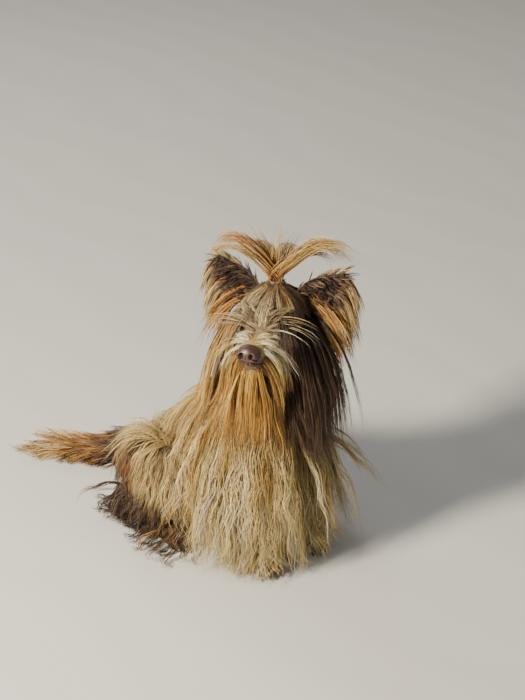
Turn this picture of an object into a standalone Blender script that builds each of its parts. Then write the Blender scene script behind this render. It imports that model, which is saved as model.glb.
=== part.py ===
"""A Yorkshire terrier, sitting with its head turned to its right: a still, life-size model.

Metres, +Z up. The chest faces -Y and the dog's own left is +X. The paws, the rump and the tail
rest on the floor at z = 0. Every node is one closed body, and neighbours meet with a thin gap.
"""

import math
import random

import bmesh
import bpy
from mathutils import Matrix, Vector
from mathutils.bvhtree import BVHTree

# Driving sizes of the body
SEED = 25
GAP = 0.0003
WELD = 0.00001
TRUNK_UNDERCOAT = 0.010
NECK_UNDERCOAT = 0.007
THIGH_UNDERCOAT = 0.007
TAIL_UNDERCOAT = 0.003
LIMB_UNDERCOAT = 0.0015
HEAD_CENTRE = Vector((0.009, -0.040, 0.250))
HEAD_TURN = math.radians(-60)
HEAD_LIFT = math.radians(-7)
DOWN = Vector((0, 0, -1))

# Body forms as rows of x, y, z, half width, half height, bare of coat
TRUNK = (
    (0.0, -0.075, 0.142, 0.010, 0.012),
    (0.0, -0.066, 0.142, 0.026, 0.030),
    (0.0, -0.040, 0.140, 0.040, 0.045),
    (0.0, 0.000, 0.123, 0.043, 0.047),
    (0.0, 0.040, 0.096, 0.040, 0.042),
    (0.0, 0.080, 0.064, 0.039, 0.037),
    (0.0, 0.113, 0.042, 0.040, 0.036),
    (0.0, 0.138, 0.034, 0.032, 0.030),
    (0.0, 0.152, 0.032, 0.013, 0.013),
)
NECK = (
    (0.000, -0.026, 0.152, 0.024, 0.026),
    (0.002, -0.034, 0.180, 0.031, 0.034),
    (0.007, -0.034, 0.210, 0.027, 0.030),
    (0.012, -0.030, 0.240, 0.025, 0.027),
    (0.014, -0.030, 0.256, 0.018, 0.020),
)
FORELEG = (
    (0.034, -0.034, 0.118, 0.016, 0.020),
    (0.0345, -0.036, 0.095, 0.0145, 0.0165),
    (0.033, -0.042, 0.065, 0.0115, 0.0120),
    (0.0315, -0.047, 0.040, 0.0105, 0.0110),
    (0.031, -0.050, 0.022, 0.0110, 0.0115),
    (0.031, -0.052, 0.012, 0.0090, 0.0090),
)
FOREPAW = (
    (0.031, -0.041, 0.010, 0.0085, 0.0080),
    (0.031, -0.053, 0.010, 0.0135, 0.0120),
    (0.031, -0.068, 0.009, 0.0150, 0.0105),
    (0.031, -0.077, 0.0075, 0.0125, 0.0080),
    (0.031, -0.080, 0.006, 0.0080, 0.0050),
)
THIGH = (
    (0.030, 0.132, 0.044, 0.012, 0.015),
    (0.036, 0.116, 0.047, 0.023, 0.031),
    (0.044, 0.082, 0.054, 0.026, 0.035),
    (0.052, 0.050, 0.062, 0.020, 0.028),
    (0.055, 0.030, 0.062, 0.014, 0.018),
    (0.055, 0.022, 0.061, 0.006, 0.008),
)
SHANK = (
    (0.058, 0.026, 0.046, 0.008, 0.010),
    (0.060, 0.044, 0.038, 0.0115, 0.0130),
    (0.062, 0.075, 0.028, 0.0105, 0.0115),
    (0.063, 0.102, 0.020, 0.0085, 0.0090),
    (0.063, 0.112, 0.018, 0.0060, 0.0070),
)
HINDPAW = (
    (0.063, 0.126, 0.012, 0.006, 0.008),
    (0.063, 0.116, 0.012, 0.009, 0.0125),
    (0.064, 0.086, 0.0095, 0.0085, 0.0100),
    (0.065, 0.052, 0.0085, 0.0100, 0.0090),
    (0.066, 0.030, 0.0085, 0.0140, 0.0100),
    (0.066, 0.014, 0.0075, 0.0125, 0.0085),
    (0.066, 0.009, 0.006, 0.0080, 0.0055),
)
TAIL = (
    (0.000, 0.142, 0.040, 0.0100, 0.0100),
    (-0.004, 0.160, 0.034, 0.0095, 0.0095),
    (-0.018, 0.187, 0.020, 0.0085, 0.0085),
    (-0.036, 0.213, 0.013, 0.0075, 0.0075),
    (-0.055, 0.239, 0.011, 0.0060, 0.0060),
    (-0.073, 0.262, 0.009, 0.0000, 0.0000),
)

# Head forms, in the head's own frame: origin in the middle of the skull, -Y to the nose
SKULL = (
    (0.0, 0.041, 0.000, 0.008, 0.008),
    (0.0, 0.035, 0.000, 0.021, 0.019),
    (0.0, 0.020, 0.000, 0.032, 0.029),
    (0.0, 0.000, 0.000, 0.0365, 0.033),
    (0.0, -0.018, -0.001, 0.034, 0.031),
    (0.0, -0.029, -0.0045, 0.0275, 0.0250),
    (0.0, -0.037, -0.0090, 0.0205, 0.0170),
    (0.0, -0.047, -0.0105, 0.0170, 0.0130),
    (0.0, -0.059, -0.0112, 0.0150, 0.0118),
    (0.0, -0.066, -0.0115, 0.0120, 0.0098),
    (0.0, -0.069, -0.0115, 0.0065, 0.0055),
)
JAW = (
    (0.0, -0.010, -0.0270, 0.0120, 0.0060),
    (0.0, -0.024, -0.0265, 0.0160, 0.0075),
    (0.0, -0.041, -0.0245, 0.0140, 0.0062),
    (0.0, -0.055, -0.0245, 0.0115, 0.0055),
    (0.0, -0.063, -0.0242, 0.0085, 0.0042),
    (0.0, -0.066, -0.0240, 0.0030, 0.0022),
)
LIP = (
    (0.0045, -0.0665, -0.0190, 0.0014, 0.0014),
    (0.0105, -0.0610, -0.0196, 0.0017, 0.0017),
    (0.0137, -0.0530, -0.0192, 0.0018, 0.0018),
    (0.0160, -0.0410, -0.0182, 0.0018, 0.0018),
    (0.0205, -0.0300, -0.0165, 0.0013, 0.0013),
)
NOSE_CENTRE = Vector((0, -0.0695, -0.0080))
NOSE_RADII = (0.0110, 0.0085, 0.0088)
NOSTRIL_SPREAD = 0.0050
EYE_SPREAD = 0.0175
EYE_FORWARD = -0.0325
EYE_HEIGHT = 0.0035
EYE_RADIUS = 0.0080
LID_RING = 0.0068
LID_THICKNESS = 0.0017
GAZE = Vector((0.32, -0.94, 0.08))
EAR_ROOT = Vector((0.023, 0.004, 0.019))
EAR_AXIS = Vector((0.74, 0.12, 0.66))
EAR_OPENING = Vector((0.25, -0.96, 0.10))
EAR_LENGTH = 0.058
EAR_WIDTH = 0.036
EAR_THICKNESS = 0.0018
EAR_CUP = 0.0095
STEM_FOOT = Vector((0, -0.002, 0.026))
BAND_PLACE = Vector((0, -0.003, 0.0405))
STEM_RADIUS = 0.0036
BAND_CORD = 0.0013

GATHER = (
    (0.0, -0.002, 0.0230, 0.0250, 0.0250),
    (0.0, -0.003, 0.0320, 0.0150, 0.0150),
    (0.0, -0.003, 0.0365, 0.0080, 0.0080),
    (0.0, -0.003, 0.0386, 0.0058, 0.0058),
)
TOPKNOT = (
    (0.0, -0.003, 0.0389, 0.0036, 0.0036),
    (0.0, -0.003, 0.0430, 0.0036, 0.0036),
    (0.0, -0.003, 0.0480, 0.0055, 0.0050),
    (0.0, -0.003, 0.0540, 0.0060, 0.0048),
    (0.0, -0.003, 0.0590, 0.0040, 0.0030),
)
TOPKNOT_GUIDES = (
    ((0.000, -0.004, 0.046), (-0.013, -0.006, 0.062), (-0.029, -0.006, 0.077), (-0.046, -0.004, 0.081),
     (-0.059, -0.003, 0.073), (-0.067, -0.003, 0.059)),
    ((-0.001, -0.002, 0.047), (-0.009, 0.002, 0.064), (-0.020, 0.004, 0.081), (-0.036, 0.005, 0.097)),
    ((0.000, -0.003, 0.048), (0.001, -0.007, 0.065), (0.001, -0.006, 0.083), (0.003, 0.000, 0.101)),
    ((0.001, -0.002, 0.047), (0.007, 0.002, 0.062), (0.013, 0.006, 0.078), (0.021, 0.011, 0.091)),
    ((0.001, -0.004, 0.047), (0.013, -0.008, 0.060), (0.026, -0.008, 0.072), (0.039, -0.007, 0.083)),
    ((0.000, -0.004, 0.046), (0.016, -0.003, 0.061), (0.032, -0.002, 0.077), (0.048, 0.000, 0.081),
     (0.064, 0.001, 0.073), (0.077, 0.002, 0.061)),
    ((0.001, -0.002, 0.046), (0.012, 0.008, 0.060), (0.024, 0.018, 0.068), (0.038, 0.026, 0.064),
     (0.047, 0.030, 0.052)),
    ((-0.001, -0.002, 0.046), (-0.010, 0.010, 0.061), (-0.022, 0.021, 0.068), (-0.034, 0.030, 0.062),
     (-0.041, 0.034, 0.050)),
    ((0.000, -0.001, 0.046), (0.001, 0.013, 0.062), (0.001, 0.028, 0.067), (0.002, 0.041, 0.058),
     (0.002, 0.048, 0.044)),
)

# Sizes of the coat's locks
LOCK_THICKNESS = 0.0034
FLOOR_LIE = 0.0035
FLOOR_CLEAR = 0.0012
LAYER = 0.0035
NUDGE = 0.0002
NUDGES = 12

# Colours of the record's slots
CHOCOLATE = (0.20, 0.11, 0.07)
GOLD = (0.60, 0.40, 0.20)
CREAM = (0.72, 0.58, 0.40)
LIVER = (0.17, 0.08, 0.06)
AMBER = (0.10, 0.05, 0.03)
PINK = (0.85, 0.45, 0.40)


def clear_scene():
    """Removes the objects that a new file starts with."""
    for obj in list(bpy.data.objects):
        bpy.data.objects.remove(obj)


def material(name, colour, roughness):
    """A plain surface of one colour."""
    made = bpy.data.materials.new(name)
    made.use_nodes = True
    shader = made.node_tree.nodes["Principled BSDF"]
    shader.inputs["Base Color"].default_value = (*colour, 1)
    shader.inputs["Roughness"].default_value = roughness
    made.diffuse_color = (*colour, 1)
    return made


def object_of(name, bm, made_of=None):
    """An object in the scene that holds bm's mesh in triangles, with its faces pointing out."""
    bmesh.ops.recalc_face_normals(bm, faces=bm.faces)
    bmesh.ops.triangulate(bm, faces=bm.faces)
    mesh = bpy.data.meshes.new(name)
    bm.to_mesh(mesh)
    bm.free()
    obj = bpy.data.objects.new(name, mesh)
    bpy.context.scene.collection.objects.link(obj)
    if made_of:
        mesh.materials.append(made_of)
    return obj


def mirrored(rows, side):
    """The rows of a right or left limb."""
    return [(side * row[0], *row[1:]) for row in rows]


def thickened(rows, depth):
    """The rows with a layer of undercoat on them."""
    return [(*row[:3], row[3] + depth, row[4] + depth) for row in rows]


def refined(rows, parts):
    """The rows with parts steps between each two, on a smooth curve through them."""
    made = []
    for i in range(len(rows) - 1):
        a = rows[max(i - 1, 0)]
        b, c = rows[i], rows[i + 1]
        d = rows[min(i + 2, len(rows) - 1)]
        for k in range(parts):
            t = k / parts
            made.append(
                tuple(
                    0.5 * (2 * q + (r - p) * t + (2 * p - 5 * q + 4 * r - s) * t**2
                           + (3 * q - p - 3 * r + s) * t**3)
                    for p, q, r, s in zip(a, b, c, d)
                )
            )
    return made + [rows[-1]]


def loft(name, rows, sides, made_of=None, floor=True):
    """A closed tube of oval rings, one for each row. On the floor its underside is flat."""
    bm = bmesh.new()
    centres = [Vector(row[:3]) for row in rows]
    rings = []
    for i, row in enumerate(rows):
        along = centres[min(i + 1, len(rows) - 1)] - centres[max(i - 1, 0)]
        along.normalize()
        across = (Vector((1, 0, 0)) - along * along.x).normalized()
        up = across.cross(along)
        ring = []
        for k in range(sides):
            turn = 2 * math.pi * (k + 0.5) / sides
            place = centres[i] + across * (row[3] * math.cos(turn)) + up * (row[4] * math.sin(turn))
            if floor:
                place.z = max(place.z, 0)
            ring.append(bm.verts.new(place))
        rings.append(ring)
    for a, b in zip(rings, rings[1:]):
        for k in range(sides):
            bm.faces.new((a[k], a[(k + 1) % sides], b[(k + 1) % sides], b[k]))
    bm.faces.new(rings[0])
    bm.faces.new(rings[-1])
    return object_of(name, bm, made_of)


def ellipsoid(name, centre, radii, segments, rings, made_of=None, turn=None):
    """A ball stretched to three radii."""
    bm = bmesh.new()
    bmesh.ops.create_uvsphere(bm, u_segments=segments, v_segments=rings, radius=1)
    matrix = Matrix.Translation(centre) @ (turn or Matrix.Identity(4)) @ Matrix.Diagonal((*radii, 1))
    bmesh.ops.transform(bm, matrix=matrix, verts=bm.verts)
    return object_of(name, bm, made_of)


def placed(obj, matrix):
    """obj with matrix worked into its mesh."""
    obj.data.transform(matrix)
    return obj


def grown(obj, by=GAP):
    """A hidden copy of obj, larger all round by a gap."""
    copy = bpy.data.objects.new(obj.name + "_grown", obj.data.copy())
    bpy.context.scene.collection.objects.link(copy)
    normals = [v.normal.copy() for v in copy.data.vertices]
    for vertex, normal in zip(copy.data.vertices, normals):
        vertex.co += normal * by
    copy.hide_render = True
    copy.display_type = "WIRE"
    return copy


def settled(obj):
    """Puts obj's corners and faces in the order of their places, so that every build comes out the same."""
    mesh = obj.data
    places = [tuple(v.co) for v in mesh.vertices]
    order = sorted(range(len(places)), key=places.__getitem__)
    index = {old: new for new, old in enumerate(order)}
    faces = []
    for polygon in mesh.polygons:
        ring = [index[k] for k in polygon.vertices]
        first = ring.index(min(ring))
        faces.append(ring[first:] + ring[:first])
    made = bpy.data.meshes.new(mesh.name)
    made.from_pydata([places[k] for k in order], [], sorted(faces))
    for own in mesh.materials:
        made.materials.append(own)
    obj.data = made
    return obj


def applied(obj, modifier):
    """obj with the result of its modifier as its own mesh."""
    graph = bpy.context.evaluated_depsgraph_get()
    mesh = bpy.data.meshes.new_from_object(obj.evaluated_get(graph))
    obj.modifiers.remove(modifier)
    obj.data = mesh
    return settled(obj)


def triangulated(bm):
    """bm in triangles. Where two faces would get the same diagonal, other ways to divide are tried."""
    ways = (("BEAUTY", "BEAUTY"), ("SHORT_EDGE", "EAR_CLIP"), ("LONG_EDGE", "EAR_CLIP"), ("FIXED", "BEAUTY"))
    for quads, others in ways:
        trial = bm.copy()
        bmesh.ops.triangulate(trial, faces=trial.faces, quad_method=quads, ngon_method=others)
        if all(len(edge.link_faces) == 2 for edge in trial.edges):
            break
    bm.free()
    return trial


def keep_largest(obj):
    """Leaves only the largest closed surface of obj, and tells where an edge of it is unsound."""
    bm = bmesh.new()
    bm.from_mesh(obj.data)
    bmesh.ops.remove_doubles(bm, verts=bm.verts, dist=WELD)
    bmesh.ops.dissolve_degenerate(bm, edges=bm.edges, dist=WELD)
    bm = triangulated(bm)
    left = dict.fromkeys(bm.faces)
    shells = []
    while left:
        stack = [next(iter(left))]
        del left[stack[0]]
        shell = list(stack)
        while stack:
            for edge in stack.pop().edges:
                for face in edge.link_faces:
                    if face in left:
                        del left[face]
                        shell.append(face)
                        stack.append(face)
        shells.append(shell)
    shells.sort(key=lambda shell: sum(face.calc_area() for face in shell))
    for shell in shells[:-1]:
        bmesh.ops.delete(bm, geom=shell, context="FACES")
    unsound = [edge.verts[0].co.copy() for edge in bm.edges if len(edge.link_faces) != 2]
    bm.to_mesh(obj.data)
    bm.free()
    settled(obj)
    return unsound


def carve(obj, *cutters):
    """Cuts each cutter from obj."""
    for cutter in cutters:
        modifier = obj.modifiers.new("cut", "BOOLEAN")
        modifier.operation = "DIFFERENCE"
        modifier.solver = "MANIFOLD"
        modifier.object = cutter
        applied(obj, modifier)
    keep_largest(obj)
    return obj


def nearest_corner(obj, place):
    """Distance from a place to the nearest corner of obj."""
    return min((v.co - place).length for v in obj.data.vertices)


def fuse(obj, pieces):
    """Joins the pieces to obj in one union and removes them, nudged a little until it comes out sound."""
    if not pieces:
        return obj
    rng = random.Random(3)
    group = bpy.data.collections.new("pieces_of_" + obj.name)
    bpy.context.scene.collection.children.link(group)
    for piece in pieces:
        bpy.context.scene.collection.objects.unlink(piece)
        group.objects.link(piece)
    alone = obj.data
    nudges = {}
    for tries in range(NUDGES):
        obj.data = alone.copy()
        modifier = obj.modifiers.new("join", "BOOLEAN")
        modifier.operation = "UNION"
        modifier.solver = "MANIFOLD"
        modifier.operand_type = "COLLECTION"
        modifier.collection = group
        applied(obj, modifier)
        unsound = keep_largest(obj)
        if not unsound:
            break
        if tries > 2:
            worst = min(pieces, key=lambda piece: nearest_corner(piece, unsound[0]))
            pieces.remove(worst)
            bpy.data.objects.remove(worst)
        for piece in pieces:
            nudge = Vector([rng.uniform(-NUDGE, NUDGE) for _ in range(3)])
            placed(piece, Matrix.Translation(nudge - nudges.get(piece, Vector())))
            nudges[piece] = nudge
    for piece in pieces:
        bpy.data.objects.remove(piece)
    bpy.data.collections.remove(group)
    return obj


def remove(*objects):
    """Deletes helpers once they have cut."""
    for obj in objects:
        bpy.data.objects.remove(obj)


def boxes_meet(a, b):
    """Whether the boxes round two objects come within a gap of each other."""
    for k in range(3):
        low_a, high_a = min(v.co[k] for v in a.data.vertices), max(v.co[k] for v in a.data.vertices)
        low_b, high_b = min(v.co[k] for v in b.data.vertices), max(v.co[k] for v in b.data.vertices)
        if low_a > high_b + GAP or low_b > high_a + GAP:
            return False
    return True


def part_neighbours(nodes):
    """Cuts each node clear of those before it in the list, as they were before any cut."""
    cutters = [grown(node) for node in nodes]
    for i, cutter in enumerate(cutters):
        for later in nodes[i + 1 :]:
            if boxes_meet(cutter, later):
                carve(later, cutter)
    remove(*cutters)


def centre_on_floor(nodes):
    """Moves every node so that the middle of the whole box is over the origin and its base at z = 0."""
    places = [v.co for obj in nodes for v in obj.data.vertices]
    low = [min(p[k] for p in places) for k in range(3)]
    high = [max(p[k] for p in places) for k in range(3)]
    shift = Matrix.Translation((-(low[0] + high[0]) / 2, -(low[1] + high[1]) / 2, -low[2]))
    for obj in nodes:
        placed(obj, shift)


def head_matrix():
    """Places the head's own frame on the neck."""
    turn = Matrix.Rotation(HEAD_TURN, 4, "Z") @ Matrix.Rotation(HEAD_LIFT, 4, "X")
    return Matrix.Translation(HEAD_CENTRE) @ turn


def torus(name, centre, axis, major, minor, around, section, squash=1.0, made_of=None):
    """A ring about axis, its height squashed to a share of its width."""
    bm = bmesh.new()
    rings = []
    for i in range(around):
        a = 2 * math.pi * i / around
        out = Vector((math.cos(a), math.sin(a) * squash, 0))
        rings.append(
            [
                bm.verts.new(
                    out * (major + minor * math.cos(2 * math.pi * k / section))
                    + Vector((0, 0, minor * math.sin(2 * math.pi * k / section)))
                )
                for k in range(section)
            ]
        )
    for i in range(around):
        a, b = rings[i], rings[(i + 1) % around]
        for k in range(section):
            bm.faces.new((a[k], a[(k + 1) % section], b[(k + 1) % section], b[k]))
    turn = Vector(axis).to_track_quat("Z", "Y").to_matrix().to_4x4()
    bmesh.ops.transform(bm, matrix=Matrix.Translation(centre) @ turn, verts=bm.verts)
    return object_of(name, bm, made_of)


def ear_axes(side):
    """The ear's length, its width towards the outer edge and the way that its cup opens."""
    axis = Vector((side * EAR_AXIS.x, EAR_AXIS.y, EAR_AXIS.z)).normalized()
    opening = Vector((side * EAR_OPENING.x, EAR_OPENING.y, EAR_OPENING.z))
    opening = (opening - axis * opening.dot(axis)).normalized()
    return axis, axis.cross(opening) * side, opening


def ear_point(side, t, v):
    """A point on the front of the ear: t from root to tip, v from -1 to 1 at the outer edge."""
    axis, across, opening = ear_axes(side)
    half = EAR_WIDTH / 2 * (0.12 + 0.88 * (1 - t**2.2)) * (0.7 + 0.3 * math.sin(math.pi * t))
    hollow = EAR_CUP * (1 - v * v) * (1 - 0.75 * t) - 0.006 * t * t
    root = Vector((side * EAR_ROOT.x, EAR_ROOT.y, EAR_ROOT.z))
    return root + axis * (EAR_LENGTH * t) + across * (half * v) - opening * hollow


def ear(name, side, made_of):
    """A cupped leaf with a narrow tip, open to the front, in the head's own frame."""
    opening = ear_axes(side)[2]
    steps, ribs = 6, 6
    bm = bmesh.new()
    front, back = [], []
    for i in range(steps + 1):
        t = i / steps
        for j in range(ribs + 1):
            place = ear_point(side, t, 2 * j / ribs - 1)
            front.append(bm.verts.new(place))
            back.append(bm.verts.new(place - opening * EAR_THICKNESS * (1 - 0.3 * t)))
    wide = ribs + 1
    for i in range(steps):
        for j in range(ribs):
            a, b = i * wide + j, i * wide + j + 1
            c, d = b + wide, a + wide
            for sheet in (front, back):
                bm.faces.new((sheet[a], sheet[b], sheet[c]))
                bm.faces.new((sheet[a], sheet[c], sheet[d]))
    rim = [j for j in range(wide)]
    rim += [i * wide + ribs for i in range(1, steps + 1)]
    rim += [steps * wide + j for j in range(ribs - 1, -1, -1)]
    rim += [i * wide for i in range(steps - 1, 0, -1)]
    for a, b in zip(rim, rim[1:] + rim[:1]):
        bm.faces.new((front[a], front[b], back[b]))
        bm.faces.new((front[a], back[b], back[a]))
    return object_of(name, bm, made_of)


def fringe_guides(side):
    """Paths of the locks that hang from the ear's outer edge, in the head's own frame."""
    axis, across, opening = ear_axes(side)
    guides = []
    for i, t in enumerate((0.22, 0.42, 0.62, 0.82, 0.97)):
        start = ear_point(side, t, 0.80) - opening * (EAR_THICKNESS * 0.5)
        spread = 0.5 + 0.5 * t
        lean = opening * (0.004 if i % 2 else -0.001)
        path = [start]
        for k in range(1, 5):
            fall = min(1, 0.35 * k)
            step = across * (1 - 0.5 * fall) + Vector((side * 0.35 * spread, 0, -fall)) + axis * 0.15
            path.append(path[-1] + step.normalized() * 0.0125 + lean / k)
        guides.append(path)
    return guides


def nose(made_of):
    """The nose leather, with two nostrils and the groove between them."""
    leather = ellipsoid("nose", NOSE_CENTRE, NOSE_RADII, 14, 8, made_of)
    wings, cuts = [], []
    for side in (1, -1):
        wing = NOSE_CENTRE + Vector((side * 0.0060, -0.0030, -0.0008))
        wings.append(ellipsoid("wing", wing, (0.0052, 0.0058, 0.0058), 10, 6))
        hole = NOSE_CENTRE + Vector((side * NOSTRIL_SPREAD, -0.0085, -0.0006))
        cuts.append(ellipsoid("nostril", hole, (0.0019, 0.0042, 0.0025), 8, 4))
        slit = NOSE_CENTRE + Vector((side * (NOSTRIL_SPREAD + 0.0030), -0.0070, -0.0022))
        cuts.append(ellipsoid("slit", slit, (0.0030, 0.0040, 0.0010), 6, 4))
    groove = NOSE_CENTRE + Vector((0, -0.0090, -0.0035))
    cuts.append(ellipsoid("groove", groove, (0.0006, 0.0028, 0.0060), 6, 4))
    fuse(leather, wings)
    for cut in cuts:
        cut.hide_render = True
    carve(leather, *cuts)
    remove(*cuts)
    return leather


def lock_polygons(path, outward, width, thickness, grow=0.0):
    """Points and triangles of a flat, tapered lock, closed at its root and pointed at its tip."""
    last = len(path) - 1
    points = []
    for i, centre in enumerate(path[:-1]):
        t = i / last
        along = (path[i + 1] - path[max(i - 1, 0)]).normalized()
        out = (outward[i] - along * outward[i].dot(along)).normalized()
        across = along.cross(out)
        half = width / 2 * math.sin(math.pi * (0.2 + 0.72 * t)) + grow
        deep = thickness / 2 * (1 - 0.45 * t) + grow
        edge = out * (0.35 * deep)
        points += [centre + across * half - edge, centre + out * deep]
        points += [centre - across * half - edge, centre - out * deep]
    points.append(path[-1] + (path[-1] - path[-2]).normalized() * grow)
    for point in points:
        point.z = max(point.z, FLOOR_CLEAR - grow)
    faces = [(0, 1, 2), (0, 2, 3)]
    for i in range(last - 1):
        for k in range(4):
            a, b = 4 * i + k, 4 * i + (k + 1) % 4
            faces += [(a, b + 4, b), (a, a + 4, b + 4)]
    foot = 4 * (last - 1)
    faces += [(foot + k, len(points) - 1, foot + (k + 1) % 4) for k in range(4)]
    return points, faces


def lock(path, outward, width, thickness):
    """One lock as an object."""
    points, faces = lock_polygons(path, outward, width, thickness)
    bm = bmesh.new()
    corners = [bm.verts.new(p) for p in points]
    for face in faces:
        bm.faces.new([corners[k] for k in face])
    return object_of("lock", bm)


def drape(root, normal, style, raised, phase, body):
    """The path of a lock: it leaves along its lie, sinks, waves, and slides over the body and the floor."""
    along = (style["lie"] + normal * style["lift"]).normalized()
    steps = style["steps"]
    step = style["length"] / steps
    clear = style["clear"] + raised
    path, outward = [root - normal * style["sunk"]], [normal]
    for i in range(1, steps + 1):
        along = (along + DOWN * style["sag"]).normalized()
        near, face, _, far = body.find_nearest(path[-1] + along * step)
        wave = along.cross(face) * math.sin(phase + 2.1 * i) * style["wave"]
        point = path[-1] + (along + wave).normalized() * step
        want = clear * min(1, i / 2)
        if (point - near).dot(face) < want and far < want + style["length"]:
            point = near + face * want
        out = face
        if point.z < FLOOR_LIE:
            drop = path[-1].z - FLOOR_LIE
            spread = Vector((face.x, face.y, 0)) + Vector((along.x, along.y, 0))
            spread = spread.normalized() * math.sqrt(max(step**2 - drop**2, 0.2 * step**2))
            point = Vector((path[-1].x + spread.x, path[-1].y + spread.y, FLOOR_LIE))
            out = Vector((0, 0, 1))
        along = (point - path[-1]).normalized()
        point = path[-1] + along * step
        point.z = max(point.z, FLOOR_LIE)
        path.append(point)
        outward.append(out)
    return path, outward


def tree_of(*objects):
    """One search tree over the faces of some objects."""
    points, faces = [], []
    for obj in objects:
        first = len(points)
        points += [v.co.copy() for v in obj.data.vertices]
        faces += [[first + k for k in p.vertices] for p in obj.data.polygons]
    return BVHTree.FromPolygons(points, faces)


def scatter(obj, spacing, allowed, rng):
    """Roots spread evenly over obj, at least spacing apart, each with its face's normal."""
    obj.data.calc_loop_triangles()
    corners = [v.co for v in obj.data.vertices]
    triangles = list(obj.data.loop_triangles)
    areas = [t.area for t in triangles]
    roots = []
    for triangle in rng.choices(triangles, areas, k=int(25 * sum(areas) / spacing**2)):
        a, b, c = (corners[k] for k in triangle.vertices)
        u, v = rng.random(), rng.random()
        if u + v > 1:
            u, v = 1 - u, 1 - v
        place = a + (b - a) * u + (c - a) * v
        if allowed(place, triangle.normal) and all((place - r).length > spacing for r, _ in roots):
            roots.append((place, triangle.normal.copy()))
    return roots


def clear_lock(path, outward, width, others):
    """Whether a lock keeps its gap to every other node."""
    tree = BVHTree.FromPolygons(*lock_polygons(path, outward, width, LOCK_THICKNESS, 2.8 * GAP))
    return not any(tree.overlap(other) for other in others)


def grow_coat(node, roots, style_at, body, others, rng, keep_off=()):
    """Fuses a lock on node at each root, bent or shortened until it is clear of the other nodes."""
    pieces = []
    for root, normal in roots:
        style = dict(style_at(root, normal))
        style["lie"] = style["lie"] - normal * style["lie"].dot(normal)
        length = style["length"] * rng.uniform(0.88, 1.12)
        width = style["width"] * rng.uniform(0.85, 1.15)
        phase = rng.uniform(0, 6.28)
        for tries in range(12):
            style["length"] = length * (1.0, 0.8, 0.6)[tries // 4]
            path, outward = drape(root, normal, style, (tries % 4) * LAYER, phase, body)
            if any((point - place).length < reach for point in path for place, reach in keep_off):
                continue
            if clear_lock(path, outward, width, others):
                pieces.append(lock(path, outward, width, LOCK_THICKNESS))
                break
    return fuse(node, pieces)


def side_of(value):
    """1 on the dog's left, -1 on its right."""
    return 1 if value > 0 else -1


def style_of(lie, length, width, lift=0.4, sag=0.3, clear=0.008, steps=4, wave=0.15, sunk=0.0035):
    """The shape of a lock at one place, in a form that drape reads."""
    return {
        "lie": Vector(lie),
        "length": length,
        "width": width,
        "lift": lift,
        "sag": sag,
        "clear": clear,
        "steps": steps,
        "wave": wave,
        "sunk": sunk,
    }


def trunk_style(place, normal):
    """The long coat parts along the spine and hangs to the floor in front, shorter behind."""
    side = side_of(place.x)
    top = max(normal.z, 0)
    if place.y < 0.0:
        away = Vector((place.x, place.y + 0.005, 0)).normalized() * 0.4
        reach = min(0.150, 0.98 * place.z + 0.012)
        return style_of(away + Vector((side * 0.7 * top, 0, -1)), reach, 0.031, 0.32, 0.21, 0.014, 5)
    if place.y > 0.095:
        return style_of((side * (0.3 + 0.8 * top), 0.35, -0.9), 0.056, 0.027, 0.22, 0.34, 0.006, 4)
    return style_of((side * (0.1 + 1.2 * top), 0.25, -1), 0.086, 0.030, 0.25, 0.32, 0.008, 4)


def neck_style(place, normal):
    """The mane spreads over the shoulders."""
    side = side_of(place.x)
    back = 0.35 if place.y > -0.03 else -0.15
    return style_of((side * 0.35, back, -1), 0.104, 0.028, 0.38, 0.30, 0.014, 5)


def leg_style(place, normal):
    """The forelegs carry long feathers down to the floor."""
    return style_of((0, 0, -1), 0.9 * place.z + 0.012, 0.020, 0.42, 0.22, 0.004, 4)


def thigh_style(place, normal):
    """The haunch's coat hangs back over the hock."""
    return style_of((0, 0.4, -1), 0.060, 0.022, 0.45, 0.3, 0.006, 4)


def shank_style(place, normal):
    """Short, curled locks fall over the hind foot."""
    return style_of((side_of(place.x) * 0.9, 0.1, -0.7), 0.052, 0.018, 0.5, 0.3, 0.005, 4, 0.3)


def tail_style(place, normal):
    """The tail's plume lies along it and fans at the tip."""
    t = min(max((place.y - 0.15) / 0.1, 0), 1)
    lie = Vector((-0.25 - 0.45 * t, 1, -0.15)) + Vector((normal.x * 0.2, 0, 0))
    return style_of(lie, 0.046, 0.022, 0.12, 0.08, 0.004, 4, 0.1)


def head_style_in(head_at):
    """A style for the head's locks, from a place in its own frame."""
    back_to_head = head_at.inverted()
    turn = head_at.to_3x3()

    def style_at(place, normal):
        p = back_to_head @ place
        side = side_of(p.x)
        if p.y < -0.036:
            made = style_of((side * 0.8, 0.45, -1.3), 0.088, 0.021, 0.22, 0.40, 0.012, 5)
        elif p.z > 0.006 and p.y < -0.018 and abs(p.x) < 0.016:
            made = style_of((side * 1.0, 0.05, 0.2), 0.058, 0.013, 0.25, 0.38, 0.012, 5)
        elif p.y > 0.016:
            made = style_of((side * 0.35, 0.45, -1), 0.092, 0.027, 0.4, 0.34, 0.017, 5)
        else:
            made = style_of((side * 0.5, -0.15, -0.8), 0.122, 0.026, 0.6, 0.42, 0.022, 5)
        made["lie"] = turn @ made["lie"]
        return made

    return style_at


def beard_style_in(head_at):
    """A style for the beard under the jaw."""
    back_to_head = head_at.inverted()
    turn = head_at.to_3x3()

    def style_at(place, normal):
        p = back_to_head @ place
        made = style_of((side_of(p.x) * 0.2, -0.05, -1), 0.078, 0.018, 0.3, 0.35, 0.012, 4)
        made["lie"] = turn @ made["lie"]
        return made

    return style_at


def laid(node, guides, frame, width, thickness):
    """Fuses one lock on node along each guide, a row of points in the given frame."""
    pieces = []
    for guide in guides:
        path = [frame @ Vector(point) for point in guide]
        facing = frame.to_3x3() @ Vector((0, -1, 0))
        pieces.append(lock(path, [facing] * len(path), width, thickness))
    return fuse(node, pieces)


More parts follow.
